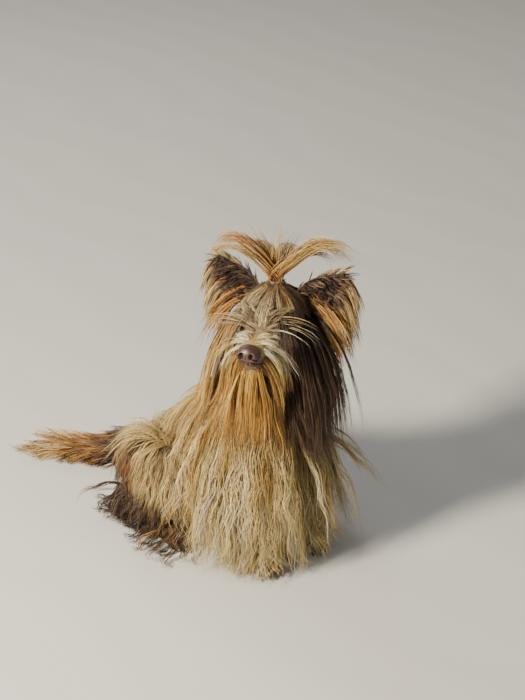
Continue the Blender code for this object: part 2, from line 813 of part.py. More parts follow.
def main():
    clear_scene()
    brown = material("chocolate_coat", CHOCOLATE, 0.6)
    gold = material("golden_coat", GOLD, 0.55)
    cream = material("cream_coat", CREAM, 0.55)
    liver = material("nose_leather", LIVER, 0.35)
    amber = material("eye", AMBER, 0.1)
    pink = material("hair_band", PINK, 0.5)
    head_at = head_matrix()

    trunk = loft("torso", refined(thickened(TRUNK, TRUNK_UNDERCOAT), 2), 18, cream)
    neck = loft("neck", refined(thickened(NECK, NECK_UNDERCOAT), 2), 14, cream)
    tail = loft("tail", refined(thickened(TAIL, TAIL_UNDERCOAT), 1), 12, brown)
    head = loft("head", refined(SKULL, 2), 18, gold, floor=False)
    jaw = loft("jaw", refined(JAW, 2), 12, gold, floor=False)
    leather = nose(liver)
    stem = loft("topknot", refined(TOPKNOT, 2), 10, gold, floor=False)
    band = torus("hair_band", BAND_PLACE, (0, 0, 1), STEM_RADIUS + BAND_CORD, BAND_CORD, 16, 6, 1.0, pink)
    details, eyes, ears = [loft("gather", GATHER, 14, floor=False)], [], []
    for side, word in ((1, "left"), (-1, "right")):
        eye_at = Vector((side * EYE_SPREAD, EYE_FORWARD, EYE_HEIGHT))
        gaze = Vector((side * GAZE.x, GAZE.y, GAZE.z)).normalized()
        eyes.append(ellipsoid("eye_" + word, eye_at, [EYE_RADIUS] * 3, 14, 8, amber))
        lid_at = eye_at + gaze * 0.0036
        details.append(torus("lids", lid_at, gaze, LID_RING, LID_THICKNESS, 16, 5, 0.86))
        details.append(loft("lip", refined(mirrored(LIP, side), 1), 5, floor=False))
        ears.append(ear("ear_" + word, side, brown))
    fuse(head, details)
    for obj in (head, jaw, leather, stem, band, *eyes, *ears):
        placed(obj, head_at)
    limbs, forelegs, thighs, shanks, feet = [], [], [], [], []
    for side, word in ((1, "left"), (-1, "right")):
        foot = loft("hindpaw_" + word, refined(mirrored(HINDPAW, side), 1), 12, brown)
        thigh_rows = thickened(mirrored(THIGH, side), THIGH_UNDERCOAT)
        thigh = loft("thigh_" + word, refined(thigh_rows, 1), 14, cream)
        paw = loft("forepaw_" + word, refined(mirrored(FOREPAW, side), 2), 12, cream)
        leg_rows = thickened(mirrored(FORELEG, side), LIMB_UNDERCOAT)
        leg = loft("foreleg_" + word, refined(leg_rows, 1), 10, cream)
        shank = loft("shank_" + word, refined(thickened(mirrored(SHANK, side), LIMB_UNDERCOAT), 1), 10, brown)
        limbs += [foot, thigh, paw, leg, shank]
        forelegs.append(leg)
        thighs.append(thigh)
        shanks.append(shank)
        feet.append(foot)
    nodes = [*eyes, leather, band, stem, jaw, head, trunk, *ears, neck, tail, *limbs]
    part_neighbours(nodes)

    rng = random.Random(SEED)
    body = tree_of(trunk, neck, head, jaw, tail, *limbs)
    skull = tree_of(head)
    fronts = [Vector((side * EYE_SPREAD, EYE_FORWARD - 0.003, EYE_HEIGHT)) for side in (1, -1)]
    eyes_and_nose = [(head_at @ front, 0.0100) for front in fronts]
    eyes_and_nose.append((head_at @ NOSE_CENTRE, 0.0150))

    def coat(node, spacing, allowed, style_at, keep_off=()):
        others = [tree_of(other) for other in nodes if other != node]
        roots = scatter(node, spacing, allowed, rng)
        grow_coat(node, roots, style_at, body, others, rng, keep_off)

    for leg in forelegs:
        coat(leg, 0.032, lambda p, n: 0.035 < p.z < 0.098 and abs(n.z) < 0.6, leg_style)
    for shank in shanks:
        coat(shank, 0.022, lambda p, n: n.z > -0.2 and abs(p.x) > 0.058, shank_style)
    for foot in feet:
        coat(foot, 0.022, lambda p, n: n.z > 0.0 and p.y > 0.035, shank_style)
    for thigh in thighs:
        coat(thigh, 0.023, lambda p, n: p.z > 0.04 and p.x * n.x > 0 and abs(p.x) > 0.06, thigh_style)
    coat(tail, 0.0155, lambda p, n: n.z > -0.2 and p.y > 0.160, tail_style)
    coat(trunk, 0.0265, lambda p, n: p.z > 0.045 and n.z > -0.3, trunk_style)
    coat(neck, 0.0225, lambda p, n: p.z < 0.232, neck_style)

    def on_face(p, n):
        q = head_at.inverted() @ p
        return q.z < 0.026 and (q.z > -0.024 or q.y > -0.01) and q.y > -0.066

    for side, one in zip((1, -1), ears):
        laid(one, fringe_guides(side), head_at, 0.0125, 0.0026)
    laid(stem, TOPKNOT_GUIDES, head_at, 0.0105, LOCK_THICKNESS)
    coat(head, 0.0185, on_face, head_style_in(head_at), eyes_and_nose)

    def under_chin(p, n):
        return n.z < 0.2 and (head_at.inverted() @ p).y < -0.03

    coat(jaw, 0.014, under_chin, beard_style_in(head_at), eyes_and_nose)
    centre_on_floor(nodes)


main()
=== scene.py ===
"""Looks of a sitting Yorkshire terrier, chocolate and gold, with its head hair tied up.

Shapes are made in the dog's own frame (chest to -Y, its left to +X, floor at z = 0) and then moved
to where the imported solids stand. The coat is solid mesh: strands of three sides in tapering locks.
"""

import math
import random

import bmesh
import bpy
import numpy as np
from mathutils import Matrix, Vector
from mathutils.bvhtree import BVHTree

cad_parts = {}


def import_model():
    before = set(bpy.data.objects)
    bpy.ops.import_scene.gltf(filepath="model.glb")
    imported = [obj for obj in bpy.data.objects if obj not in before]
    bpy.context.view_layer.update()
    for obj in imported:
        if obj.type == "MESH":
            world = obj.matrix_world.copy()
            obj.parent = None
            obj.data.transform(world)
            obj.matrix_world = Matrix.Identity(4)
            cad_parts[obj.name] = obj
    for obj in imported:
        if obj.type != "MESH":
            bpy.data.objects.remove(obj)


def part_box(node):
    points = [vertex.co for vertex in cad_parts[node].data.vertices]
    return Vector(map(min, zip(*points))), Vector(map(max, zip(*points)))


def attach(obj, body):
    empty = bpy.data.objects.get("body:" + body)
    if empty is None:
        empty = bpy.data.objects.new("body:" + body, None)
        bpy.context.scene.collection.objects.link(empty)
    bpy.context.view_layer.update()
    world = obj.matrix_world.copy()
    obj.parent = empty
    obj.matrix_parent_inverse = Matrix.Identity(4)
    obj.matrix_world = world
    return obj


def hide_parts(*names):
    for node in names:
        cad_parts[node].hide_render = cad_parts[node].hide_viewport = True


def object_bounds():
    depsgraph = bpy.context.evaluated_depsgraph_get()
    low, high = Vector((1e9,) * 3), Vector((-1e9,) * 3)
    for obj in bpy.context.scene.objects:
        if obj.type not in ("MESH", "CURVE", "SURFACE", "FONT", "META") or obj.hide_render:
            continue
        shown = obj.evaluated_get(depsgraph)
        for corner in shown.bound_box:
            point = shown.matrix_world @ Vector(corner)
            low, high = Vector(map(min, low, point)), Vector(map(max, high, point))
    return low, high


SIDES = ((1, "left"), (-1, "right"))
PIECE_TRIANGLES = 190000

# The lowest that a body's skin, a lock's middle line, a strand's and a strand's side may lie
SKIN_LOW = 0.0005
LOCK_LOW = 0.0022
HAIR_LOW = 0.0014
EDGE_LOW = 0.0009

# How far round an eye's or the nose's middle the skin is bare, and how far eye hair reaches
EYE_BARE = 0.0105
EYE_HAIR = 0.0135
NOSE_BARE = 0.0115
CROWN_BARE = 0.0395

# One generator for places and one for colours and strands
CHANCE = random.Random(11)
CHANCES = np.random.default_rng(11)

# Where the head's own frame stands on the neck
HEAD_AT = (
    Matrix.Translation((0.009, -0.040, 0.250))
    @ (Matrix.Rotation(math.radians(-60), 4, "Z") @ Matrix.Rotation(math.radians(-7), 4, "X"))
)
HEAD_INVERSE = HEAD_AT.inverted()
HEAD_TURN = HEAD_AT.to_3x3()
FACING = HEAD_TURN @ Vector((0, -1, 0))


def in_metres(*rows):
    """Rows of tenths of a millimetre as metres."""
    return [tuple(value / 10000 for value in row) for row in rows]


# Body forms, bare of coat, as rows of x, y, z, half width, half height in tenths of a millimetre
TRUNK = in_metres(
    (0, -750, 1420, 100, 120), (0, -660, 1420, 260, 300), (0, -400, 1400, 400, 450), (0, 0, 1230, 430, 470),
    (0, 400, 960, 400, 420), (0, 800, 640, 390, 370), (0, 1130, 420, 400, 360), (0, 1380, 340, 320, 300),
    (0, 1520, 320, 130, 130),
)
NECK = in_metres(
    (0, -260, 1520, 240, 260), (20, -340, 1800, 310, 340), (70, -340, 2100, 270, 300),
    (120, -300, 2400, 250, 270), (140, -300, 2560, 180, 200),
)
FORELEG = in_metres(
    (340, -340, 1180, 160, 200), (345, -360, 950, 145, 165), (330, -420, 650, 115, 120),
    (315, -470, 400, 105, 110), (310, -500, 220, 110, 115), (310, -520, 120, 90, 90),
)
FOREPAW = in_metres(
    (310, -410, 100, 85, 80), (310, -530, 100, 135, 120), (310, -680, 90, 150, 105),
    (310, -770, 75, 125, 80), (310, -800, 60, 80, 50),
)
THIGH = in_metres(
    (300, 1320, 440, 120, 150), (360, 1160, 470, 230, 310), (440, 820, 540, 260, 350),
    (520, 500, 620, 200, 280), (550, 300, 620, 140, 180), (550, 220, 610, 60, 80),
)
SHANK = in_metres(
    (580, 260, 460, 80, 100), (600, 440, 380, 115, 130), (620, 750, 280, 105, 115),
    (630, 1020, 200, 85, 90), (630, 1120, 180, 60, 70),
)
HINDPAW = in_metres(
    (630, 1260, 120, 60, 80), (630, 1160, 120, 90, 125), (640, 860, 95, 85, 100), (650, 520, 85, 100, 90),
    (660, 300, 85, 140, 100), (660, 140, 75, 125, 85), (660, 90, 60, 80, 55),
)
TAIL = in_metres(
    (0, 1420, 400, 100, 100), (-40, 1600, 340, 95, 95), (-180, 1870, 200, 85, 85),
    (-360, 2130, 130, 75, 75), (-550, 2390, 110, 60, 60), (-700, 2580, 90, 30, 30),
)
LIMBS = (
    ("foreleg", FORELEG, 28), ("forepaw", FOREPAW, 28), ("thigh", THIGH, 32), ("shank", SHANK, 24),
    ("hindpaw", HINDPAW, 28),
)

# Head forms, as the same kind of rows in the head's own frame
SKULL = in_metres(
    (0, 410, 0, 80, 80), (0, 350, 0, 210, 190), (0, 200, 0, 320, 290), (0, 0, 0, 365, 330),
    (0, -180, -10, 340, 310), (0, -290, -45, 275, 250), (0, -370, -90, 205, 170), (0, -470, -105, 170, 130),
    (0, -590, -112, 150, 118), (0, -660, -115, 120, 98), (0, -690, -115, 65, 55),
)
JAW = in_metres(
    (0, -100, -270, 120, 60), (0, -240, -265, 160, 75), (0, -410, -245, 140, 62), (0, -550, -245, 115, 55),
    (0, -630, -242, 85, 42), (0, -660, -240, 30, 22),
)
GATHER = in_metres(
    (0, -20, 230, 250, 250), (0, -30, 320, 130, 130), (0, -30, 380, 40, 40), (0, -30, 470, 30, 30),
)
LIP = in_metres(
    (5, -690, -186, 14, 12), (60, -665, -190, 16, 14), (112, -610, -194, 17, 15), (142, -530, -190, 17, 15),
    (165, -410, -180, 16, 14), (205, -300, -165, 10, 10),
)
NOSE_CENTRE = Vector((0, -0.0695, -0.0080))
EYE_CENTRES = [Vector((side * 0.0175, -0.0325, 0.0035)) for side, _ in SIDES]
EYES = [HEAD_AT @ centre for centre in EYE_CENTRES]
EYE_RADIUS = 0.0080
GAZE = Vector((0.32, -0.94, 0.08))
EAR_ROOT = Vector((0.023, 0.004, 0.019))
EAR_AXIS = Vector((0.74, 0.12, 0.66))
EAR_OPENING = Vector((0.25, -0.96, 0.10))
EAR_LENGTH = 0.055
EAR_WIDTH = 0.034
EAR_THICKNESS = 0.0028
EAR_CUP = 0.0095
BAND_PLACE = Vector((0, -0.003, 0.0405))
GATHERED = HEAD_AT @ (BAND_PLACE + Vector((0, 0, -0.002)))

# Toes of a paw, as place across it and back from its front; paws, as word, place aside, place of
# the front, height of toes, height of claws; and a claw, as rows from its root to its point
TOES = ((-0.0100, 0.004), (-0.0036, 0.0), (0.0036, 0.0), (0.0100, 0.004))
PAWS = (("front", 0.031, -0.077, 0.0075, 0.0050), ("hind", 0.066, 0.014, 0.0068, 0.0045))
TOE_FRONT = -0.0045
CLAW_FRONT = -0.0110
CLAW = in_metres((20, 0, 13, 16), (-10, -4, 11, 13), (-32, -18, 6, 7), (-42, -30, 1, 1))

# Colours of the coat, linear
WHITE = np.array((0.80, 0.70, 0.54))
CREAM = np.array((0.66, 0.51, 0.235))
BLOND = np.array((0.50, 0.345, 0.120))
GOLD = np.array((0.46, 0.255, 0.052))
ORANGE = np.array((0.34, 0.145, 0.026))
RUST = np.array((0.150, 0.060, 0.026))
TAUPE = np.array((0.185, 0.122, 0.076))
CHOCOLATE = np.array((0.065, 0.034, 0.021))
DARK = np.array((0.022, 0.012, 0.009))

# The camera and its picture
VIEW_TURN = math.radians(-40)
VIEW_RISE = math.radians(27.5)
VIEW_AWAY = 1.80
VIEW_LENS = 93.05
AIM = Vector((0.0398, 0.0146, 0.188))


def refined(rows, parts):
    """The rows with parts steps between each two, on a smooth curve through them."""
    made = []
    for i in range(len(rows) - 1):
        a = rows[max(i - 1, 0)]
        b, c = rows[i], rows[i + 1]
        d = rows[min(i + 2, len(rows) - 1)]
        for k in range(parts):
            t = k / parts
            made.append(
                tuple(
                    0.5 * (2 * q + (r - p) * t + (2 * p - 5 * q + 4 * r - s) * t**2 + (3 * q - p - 3 * r + s) * t**3)
                    for p, q, r, s in zip(a, b, c, d)
                )
            )
    return made + [rows[-1]]


def mirrored(rows, side):
    """The rows of a right or left limb."""
    return [(side * row[0], *row[1:]) for row in rows]


def object_of(name, bm):
    """An object in the scene that holds bm's mesh, with its faces pointing out."""
    bmesh.ops.recalc_face_normals(bm, faces=bm.faces)
    mesh = bpy.data.meshes.new(name)
    bm.to_mesh(mesh)
    bm.free()
    obj = bpy.data.objects.new(name, mesh)
    bpy.context.scene.collection.objects.link(obj)
    return obj


def loft(name, rows, sides, floor=True):
    """A closed tube of oval rings, one for each row."""
    bm = bmesh.new()
    centres = [Vector(row[:3]) for row in rows]
    rings = []
    for i, row in enumerate(rows):
        along = centres[min(i + 1, len(rows) - 1)] - centres[max(i - 1, 0)]
        along.normalize()
        across = (Vector((1, 0, 0)) - along * along.x).normalized()
        up = across.cross(along)
        ring = []
        for k in range(sides):
            turn = 2 * math.pi * (k + 0.5) / sides
            place = centres[i] + across * (row[3] * math.cos(turn)) + up * (row[4] * math.sin(turn))
            if floor:
                place.z = max(place.z, SKIN_LOW)
            ring.append(bm.verts.new(place))
        rings.append(ring)
    for a, b in zip(rings, rings[1:]):
        for k in range(sides):
            bm.faces.new((a[k], a[(k + 1) % sides], b[(k + 1) % sides], b[k]))
    bm.faces.new(rings[0])
    bm.faces.new(rings[-1])
    return object_of(name, bm)


def ellipsoid(name, centre, radii, segments=32, rings=20):
    """A ball stretched to three radii."""
    bm = bmesh.new()
    bmesh.ops.create_uvsphere(bm, u_segments=segments, v_segments=rings, radius=1)
    matrix = Matrix.Translation(centre) @ Matrix.Diagonal((*radii, 1))
    bmesh.ops.transform(bm, matrix=matrix, verts=bm.verts)
    return object_of(name, bm)


def placed(obj, matrix):
    """obj with matrix worked into its mesh."""
    obj.data.transform(matrix)
    return obj


def remove(*objects):
    """Deletes helpers."""
    for obj in objects:
        bpy.data.objects.remove(obj)


def baked(obj):
    """obj with its modifiers' result as its own mesh."""
    graph = bpy.context.evaluated_depsgraph_get()
    mesh = bpy.data.meshes.new_from_object(obj.evaluated_get(graph))
    obj.modifiers.clear()
    obj.data = mesh
    return obj


def joined(name, objects):
    """One object of the meshes of several, which are removed."""
    bm = bmesh.new()
    for obj in objects:
        bm.from_mesh(obj.data)
    mesh = bpy.data.meshes.new(name)
    bm.to_mesh(mesh)
    bm.free()
    made = bpy.data.objects.new(name, mesh)
    bpy.context.scene.collection.objects.link(made)
    remove(*objects)
    return made


def remeshed(obj, voxel, smooth):
    """obj as one smooth closed surface."""
    modifier = obj.modifiers.new("remesh", "REMESH")
    modifier.mode = "VOXEL"
    modifier.voxel_size = voxel
    modifier.use_smooth_shade = True
    baked(obj)
    if smooth:
        modifier = obj.modifiers.new("smooth", "SMOOTH")
        modifier.factor = 0.5
        modifier.iterations = smooth
        baked(obj)
    return obj


def ear_axes(side):
    """The ear's length, its width towards the outer edge and the way that its cup opens."""
    axis = Vector((side * EAR_AXIS.x, EAR_AXIS.y, EAR_AXIS.z)).normalized()
    opening = Vector((side * EAR_OPENING.x, EAR_OPENING.y, EAR_OPENING.z))
    opening = (opening - axis * opening.dot(axis)).normalized()
    return axis, axis.cross(opening) * side, opening


def ear_point(side, t, v):
    """A point on the front of the ear: t from root to tip, v from -1 to 1 at the outer edge."""
    axis, across, opening = ear_axes(side)
    half = EAR_WIDTH / 2 * (0.12 + 0.88 * (1 - t**2.2)) * (0.7 + 0.3 * math.sin(math.pi * t))
    hollow = EAR_CUP * (1 - v * v) * (1 - 0.75 * t) - 0.006 * t * t
    root = Vector((side * EAR_ROOT.x, EAR_ROOT.y, EAR_ROOT.z))
    return root + axis * (EAR_LENGTH * t) + across * (half * v) - opening * hollow


def ear(side):
    """A cupped leaf with a rounded tip, open to the front."""
    opening = ear_axes(side)[2]
    steps, ribs = 16, 14
    bm = bmesh.new()
    front, back = [], []
    for i in range(steps + 1):
        t = i / steps
        for j in range(ribs + 1):
            place = ear_point(side, t, 2 * j / ribs - 1)
            front.append(bm.verts.new(place))
            back.append(bm.verts.new(place - opening * EAR_THICKNESS))
    wide = ribs + 1
    for i in range(steps):
        for j in range(ribs):
            a, b = i * wide + j, i * wide + j + 1
            for sheet in (front, back):
                bm.faces.new((sheet[a], sheet[b], sheet[b + wide], sheet[a + wide]))
    rim = list(range(wide)) + [i * wide + ribs for i in range(1, steps + 1)]
    rim += [steps * wide + j for j in range(ribs - 1, -1, -1)]
    rim += [i * wide for i in range(steps - 1, 0, -1)]
    for a, b in zip(rim, rim[1:] + rim[:1]):
        bm.faces.new((front[a], front[b], back[b], back[a]))
    return object_of("ear", bm)


def material_of(name, values):
    """A new material, its node tree and its shader, with the shader's values set."""
    made = bpy.data.materials.new(name)
    made.use_nodes = True
    shader = made.node_tree.nodes["Principled BSDF"]
    for socket, value in values.items():
        shader.inputs[socket].default_value = value
    return made, made.node_tree, shader


def texture(tree, kind, output, **values):
    """The output of a texture laid over the object's own places, with its values set."""
    node = tree.nodes.new("ShaderNodeTex" + kind)
    for socket, value in values.items():
        node.inputs[socket].default_value = value
    place = tree.nodes.new("ShaderNodeTexCoord")
    tree.links.new(place.outputs["Object"], node.inputs["Vector"])
    return node.outputs[output]


def bumped(tree, shader, height, strength, depth):
    """Raises the shader's surface by a height."""
    bump = tree.nodes.new("ShaderNodeBump")
    bump.inputs["Strength"].default_value = strength
    bump.inputs["Distance"].default_value = depth
    tree.links.new(height, bump.inputs["Height"])
    tree.links.new(bump.outputs["Normal"], shader.inputs["Normal"])
    return bump


def ramped(tree, shader, value, *stops):
    """Colours the shader by a value. Each stop is a place on the ramp and its colour."""
    ramp = tree.nodes.new("ShaderNodeValToRGB")
    elements = ramp.color_ramp.elements
    for k, (position, colour) in enumerate(stops):
        element = elements[k] if k < 2 else elements.new(position)
        element.position, element.color = position, (*colour, 1)
    tree.links.new(value, ramp.inputs["Fac"])
    tree.links.new(ramp.outputs["Color"], shader.inputs["Base Color"])


def painted(tree, shader):
    """Colours the shader by the mesh's own colours."""
    colour = tree.nodes.new("ShaderNodeVertexColor")
    colour.layer_name = "coat"
    tree.links.new(colour.outputs["Color"], shader.inputs["Base Color"])


def coat_material():
    """Silky hair. Its colours are on the strands."""
    made, tree, shader = material_of(
        "silky_coat", {"Roughness": 0.42, "Specular IOR Level": 0.30, "Sheen Weight": 0.03}
    )
    painted(tree, shader)
    return made


def skin_material():
    """Short undercoat over the skin, with the coat's markings darkened as painted shade of the deep coat, and fine hair
    as bump.
    """
    made, tree, shader = material_of("undercoat", {"Roughness": 0.75})
    painted(tree, shader)
    bumped(tree, shader, texture(tree, "Noise", "Fac", Scale=900, Detail=3), 0.5, 0.0006)
    return made


def leather_material(name, dark, light, scale, depth):
    """Pebbled, moist skin of the nose, lips and lids."""
    made, tree, shader = material_of(name, {"Roughness": 0.4, "Coat Weight": 0.25, "Coat Roughness": 0.25})
    ramped(tree, shader, texture(tree, "Noise", "Fac", Scale=scale * 0.12), (0.35, dark), (0.7, light))
    bumped(tree, shader, texture(tree, "Voronoi", "Distance", Scale=scale), 0.6, depth).invert = True
    return made


def ridged_material(name, dark, light, roughness, scale, distortion):
    """A surface of fine ridges, for the band's weave, the claws and the floor."""
    made, tree, shader = material_of(name, {"Roughness": roughness})
    wave = texture(tree, "Wave", "Fac", Scale=scale, Distortion=distortion)
    ramped(tree, shader, wave, (0, dark), (1, light))
    bumped(tree, shader, wave, 0.4, 0.0002)
    return made


def eye_material(centre, gaze):
    """Dark amber iris with a wide pupil under a wet surface."""
    made, tree, shader = material_of("eye_surface", {"Roughness": 0.05, "Coat Weight": 1.0, "Coat Roughness": 0.02})
    place = tree.nodes.new("ShaderNodeTexCoord")
    aim = tree.nodes.new("ShaderNodeVectorMath")
    aim.operation = "DISTANCE"
    aim.inputs[1].default_value = centre + gaze * EYE_RADIUS
    scale = tree.nodes.new("ShaderNodeMath")
    scale.operation = "MULTIPLY"
    scale.inputs[1].default_value = 1 / 0.0100
    tree.links.new(place.outputs["Object"], aim.inputs[0])
    tree.links.new(aim.outputs["Value"], scale.inputs[0])
    ramped(
        tree, shader, scale.outputs["Value"], (0.30, (0.003, 0.002, 0.002)), (0.36, (0.06, 0.022, 0.008)),
        (0.56, (0.035, 0.012, 0.005)), (0.62, (0.012, 0.006, 0.004)), (0.80, (0.16, 0.10, 0.08)),
    )
    return made


def skin_of():
    """The bare body as one surface, and the forms that it was made from."""
    forms = {
        "trunk": loft("trunk", refined(TRUNK, 4), 48),
        "neck": loft("neck", refined(NECK, 4), 40),
        "tail": loft("tail", refined(TAIL, 4), 24),
    }
    for name, rows, steps, sides in (("head", SKULL, 4, 48), ("jaw", JAW, 4, 32), ("gather", GATHER, 3, 24)):
        forms[name] = placed(loft(name, refined(rows, steps), sides, floor=False), HEAD_AT)
    for side, word in SIDES:
        for name, rows, sides in LIMBS:
            forms[f"{name}_{word}"] = loft(name, refined(mirrored(rows, side), 4), sides)
        forms["ear_" + word] = placed(ear(side), HEAD_AT)
        for paw, aside, front, height, _ in PAWS:
            for k, (across, back) in enumerate(TOES):
                centre = Vector((side * aside + across, front + TOE_FRONT + back, height))
                forms[f"toe_{word}_{paw}_{k}"] = ellipsoid("toe", centre, (0.0040, 0.0075, 0.0062), 16, 10)
    copies = []
    for obj in forms.values():
        copy = obj.copy()
        copy.data = obj.data.copy()
        bpy.context.scene.collection.objects.link(copy)
        copies.append(copy)
    return remeshed(joined("skin", copies), 0.0017, 5), forms


class Surface:
    """The skin's triangles, for finding places, normals and unwrapped places on it."""

    def __init__(self, obj):
        mesh = obj.data
        mesh.calc_loop_triangles()
        count = len(mesh.loop_triangles)
        corners = np.empty(count * 3, np.int32)
        mesh.loop_triangles.foreach_get("vertices", corners)
        loops = np.empty(count * 3, np.int32)
        mesh.loop_triangles.foreach_get("loops", loops)
        places = np.empty(len(mesh.vertices) * 3, np.float32)
        mesh.vertices.foreach_get("co", places)
        flat = np.empty(len(mesh.loops) * 2, np.float32)
        mesh.uv_layers["OFBake"].data.foreach_get("uv", flat)
        self.corners = corners.reshape(-1, 3)
        self.loops = loops.reshape(-1, 3)
        self.places = places.reshape(-1, 3).astype(float)
        self.flat = flat.reshape(-1, 2).astype(float)
        self.tree = BVHTree.FromPolygons(self.places.tolist(), self.corners.tolist())

    def unwrapped(self, places, faces):
        """Where places on the given faces lie on the unwrap."""
        a, b, c = (self.places[self.corners[faces, k]] for k in range(3))
        ab, ac, ap = b - a, c - a, places - a
        d00, d01, d11 = (ab * ab).sum(1), (ab * ac).sum(1), (ac * ac).sum(1)
        d20, d21 = (ap * ab).sum(1), (ap * ac).sum(1)
        room = np.maximum(d00 * d11 - d01 * d01, 1e-20)
        v = np.clip((d11 * d20 - d01 * d21) / room, 0, 1)[:, None]
        w = np.clip((d00 * d21 - d01 * d20) / room, 0, 1)[:, None]
        fa, fb, fc = (self.flat[self.loops[faces, k]] for k in range(3))
        return fa * (1 - v - w) + fb * v + fc * w


def unwrap(obj):
    """Gives obj an unwrap of its own shape."""
    layer = obj.data.uv_layers.new(name="OFBake")
    layer.active = True
    bpy.context.view_layer.objects.active = obj
    obj.select_set(True)
    bpy.ops.object.mode_set(mode="EDIT")
    bpy.ops.mesh.select_all(action="SELECT")
    bpy.ops.uv.smart_project(angle_limit=math.radians(70), island_margin=0.004)
    bpy.ops.object.mode_set(mode="OBJECT")
    obj.select_set(False)


def smooth_noise(places, scale, seed):
    """A smooth value from -1 to 1 at each place."""
    rng = np.random.default_rng(seed)
    total = np.zeros(len(places))
    for _ in range(5):
        way = rng.normal(size=3)
        way /= np.linalg.norm(way)
        total += np.sin(places @ way * (2 * math.pi / scale) * rng.uniform(0.6, 1.5) + rng.uniform(0, 6.28))
    return np.clip(total / 2.6, -1, 1)


def roots_on(form, surface, spacing, allowed):
    """Places spread evenly over a form, where the skin follows it, with the skin's normals."""
    mesh = form.data
    mesh.calc_loop_triangles()
    triangles = list(mesh.loop_triangles)
    corners = [v.co for v in mesh.vertices]
    areas = [t.area for t in triangles]
    tries = int(7 * sum(areas) / spacing**2)
    cell = spacing / math.sqrt(3)
    taken = {}
    roots = []
    for triangle in CHANCE.choices(triangles, areas, k=tries):
        a, b, c = (corners[k] for k in triangle.vertices)
        u, v = CHANCE.random(), CHANCE.random()
        if u + v > 1:
            u, v = 1 - u, 1 - v
        place = a + (b - a) * u + (c - a) * v
        near, normal, _, far = surface.tree.find_nearest(place)
        if far > 0.0022 or near.z < 0.003 or not allowed(near, normal):
            continue
        key = (int(near.x // spacing), int(near.y // spacing), int(near.z // spacing))
        around = [
            other
            for i in (-1, 0, 1)
            for j in (-1, 0, 1)
            for k in (-1, 0, 1)
            for other in taken.get((key[0] + i, key[1] + j, key[2] + k), ())
        ]
        if any((other - near).length < spacing for other in around):
            continue
        taken.setdefault(key, []).append(near)
        roots.append((near, normal))
    return roots


def drape(root, normal, style, surface):
    """Points and outward ways of a guide: it leaves along its lie, sinks, and slides over body and floor."""
    steps = style["steps"]
    lie = style["lie"] - normal * style["lie"].dot(normal)
    if lie.length < 0.001:
        lie = Vector((0, 0, -1)).cross(normal)
    along = (lie.normalized() + normal * style["lift"]).normalized()
    length = style["length"] * CHANCE.uniform(0.85, 1.12)
    clear = style["clear"] * CHANCE.uniform(0.35, 1.15)
    sag = style["sag"] * 5 / steps
    step = length / steps
    rest = LOCK_LOW + CHANCE.uniform(0, 0.004)
    path, outward = [root - normal * 0.0012], [normal]
    for i in range(1, steps + 1):
        t = i / steps
        pull = style["pull"]
        if pull:
            aim = pull - path[-1]
            along = (along + aim.normalized() * (0.9 + t)).normalized()
            if aim.length < step * 0.6:
                step = aim.length * 0.6
        along = (along + Vector((0, 0, -sag))).normalized()
        point = path[-1] + along * step
        near, face, _, _ = surface.tree.find_nearest(point)
        want = 0.0008 + clear * t**0.8
        gap = (point - near).dot(face)
        if gap < want and (point - near).length < 0.06:
            point = near + face * want
        out = face
        if point.z < rest:
            step *= 0.72
            drop = path[-1].z - rest
            spread = Vector((face.x, face.y, 0)) + Vector((along.x, along.y, 0)) * 0.8
            if spread.length < 0.001:
                spread = Vector((0, -1, 0))
            spread = spread.normalized() * math.sqrt(max(step**2 - drop**2, 0.25 * step**2))
            point = Vector((path[-1].x + spread.x, path[-1].y + spread.y, rest))
            out = Vector((0, 0, 1))
        along = (point - path[-1]).normalized()
        point = path[-1] + along * step
        point.z = max(point.z, rest)
        for k in (0, 1):
            point[k] = min(max(point[k], surface.reach[0][k]), surface.reach[1][k])
        path.append(point)
        outward.append(out)
    return path, outward


def normalised(vectors):
    """Vectors of length 1."""
    return vectors / np.maximum(np.linalg.norm(vectors, axis=-1, keepdims=True), 1e-9)


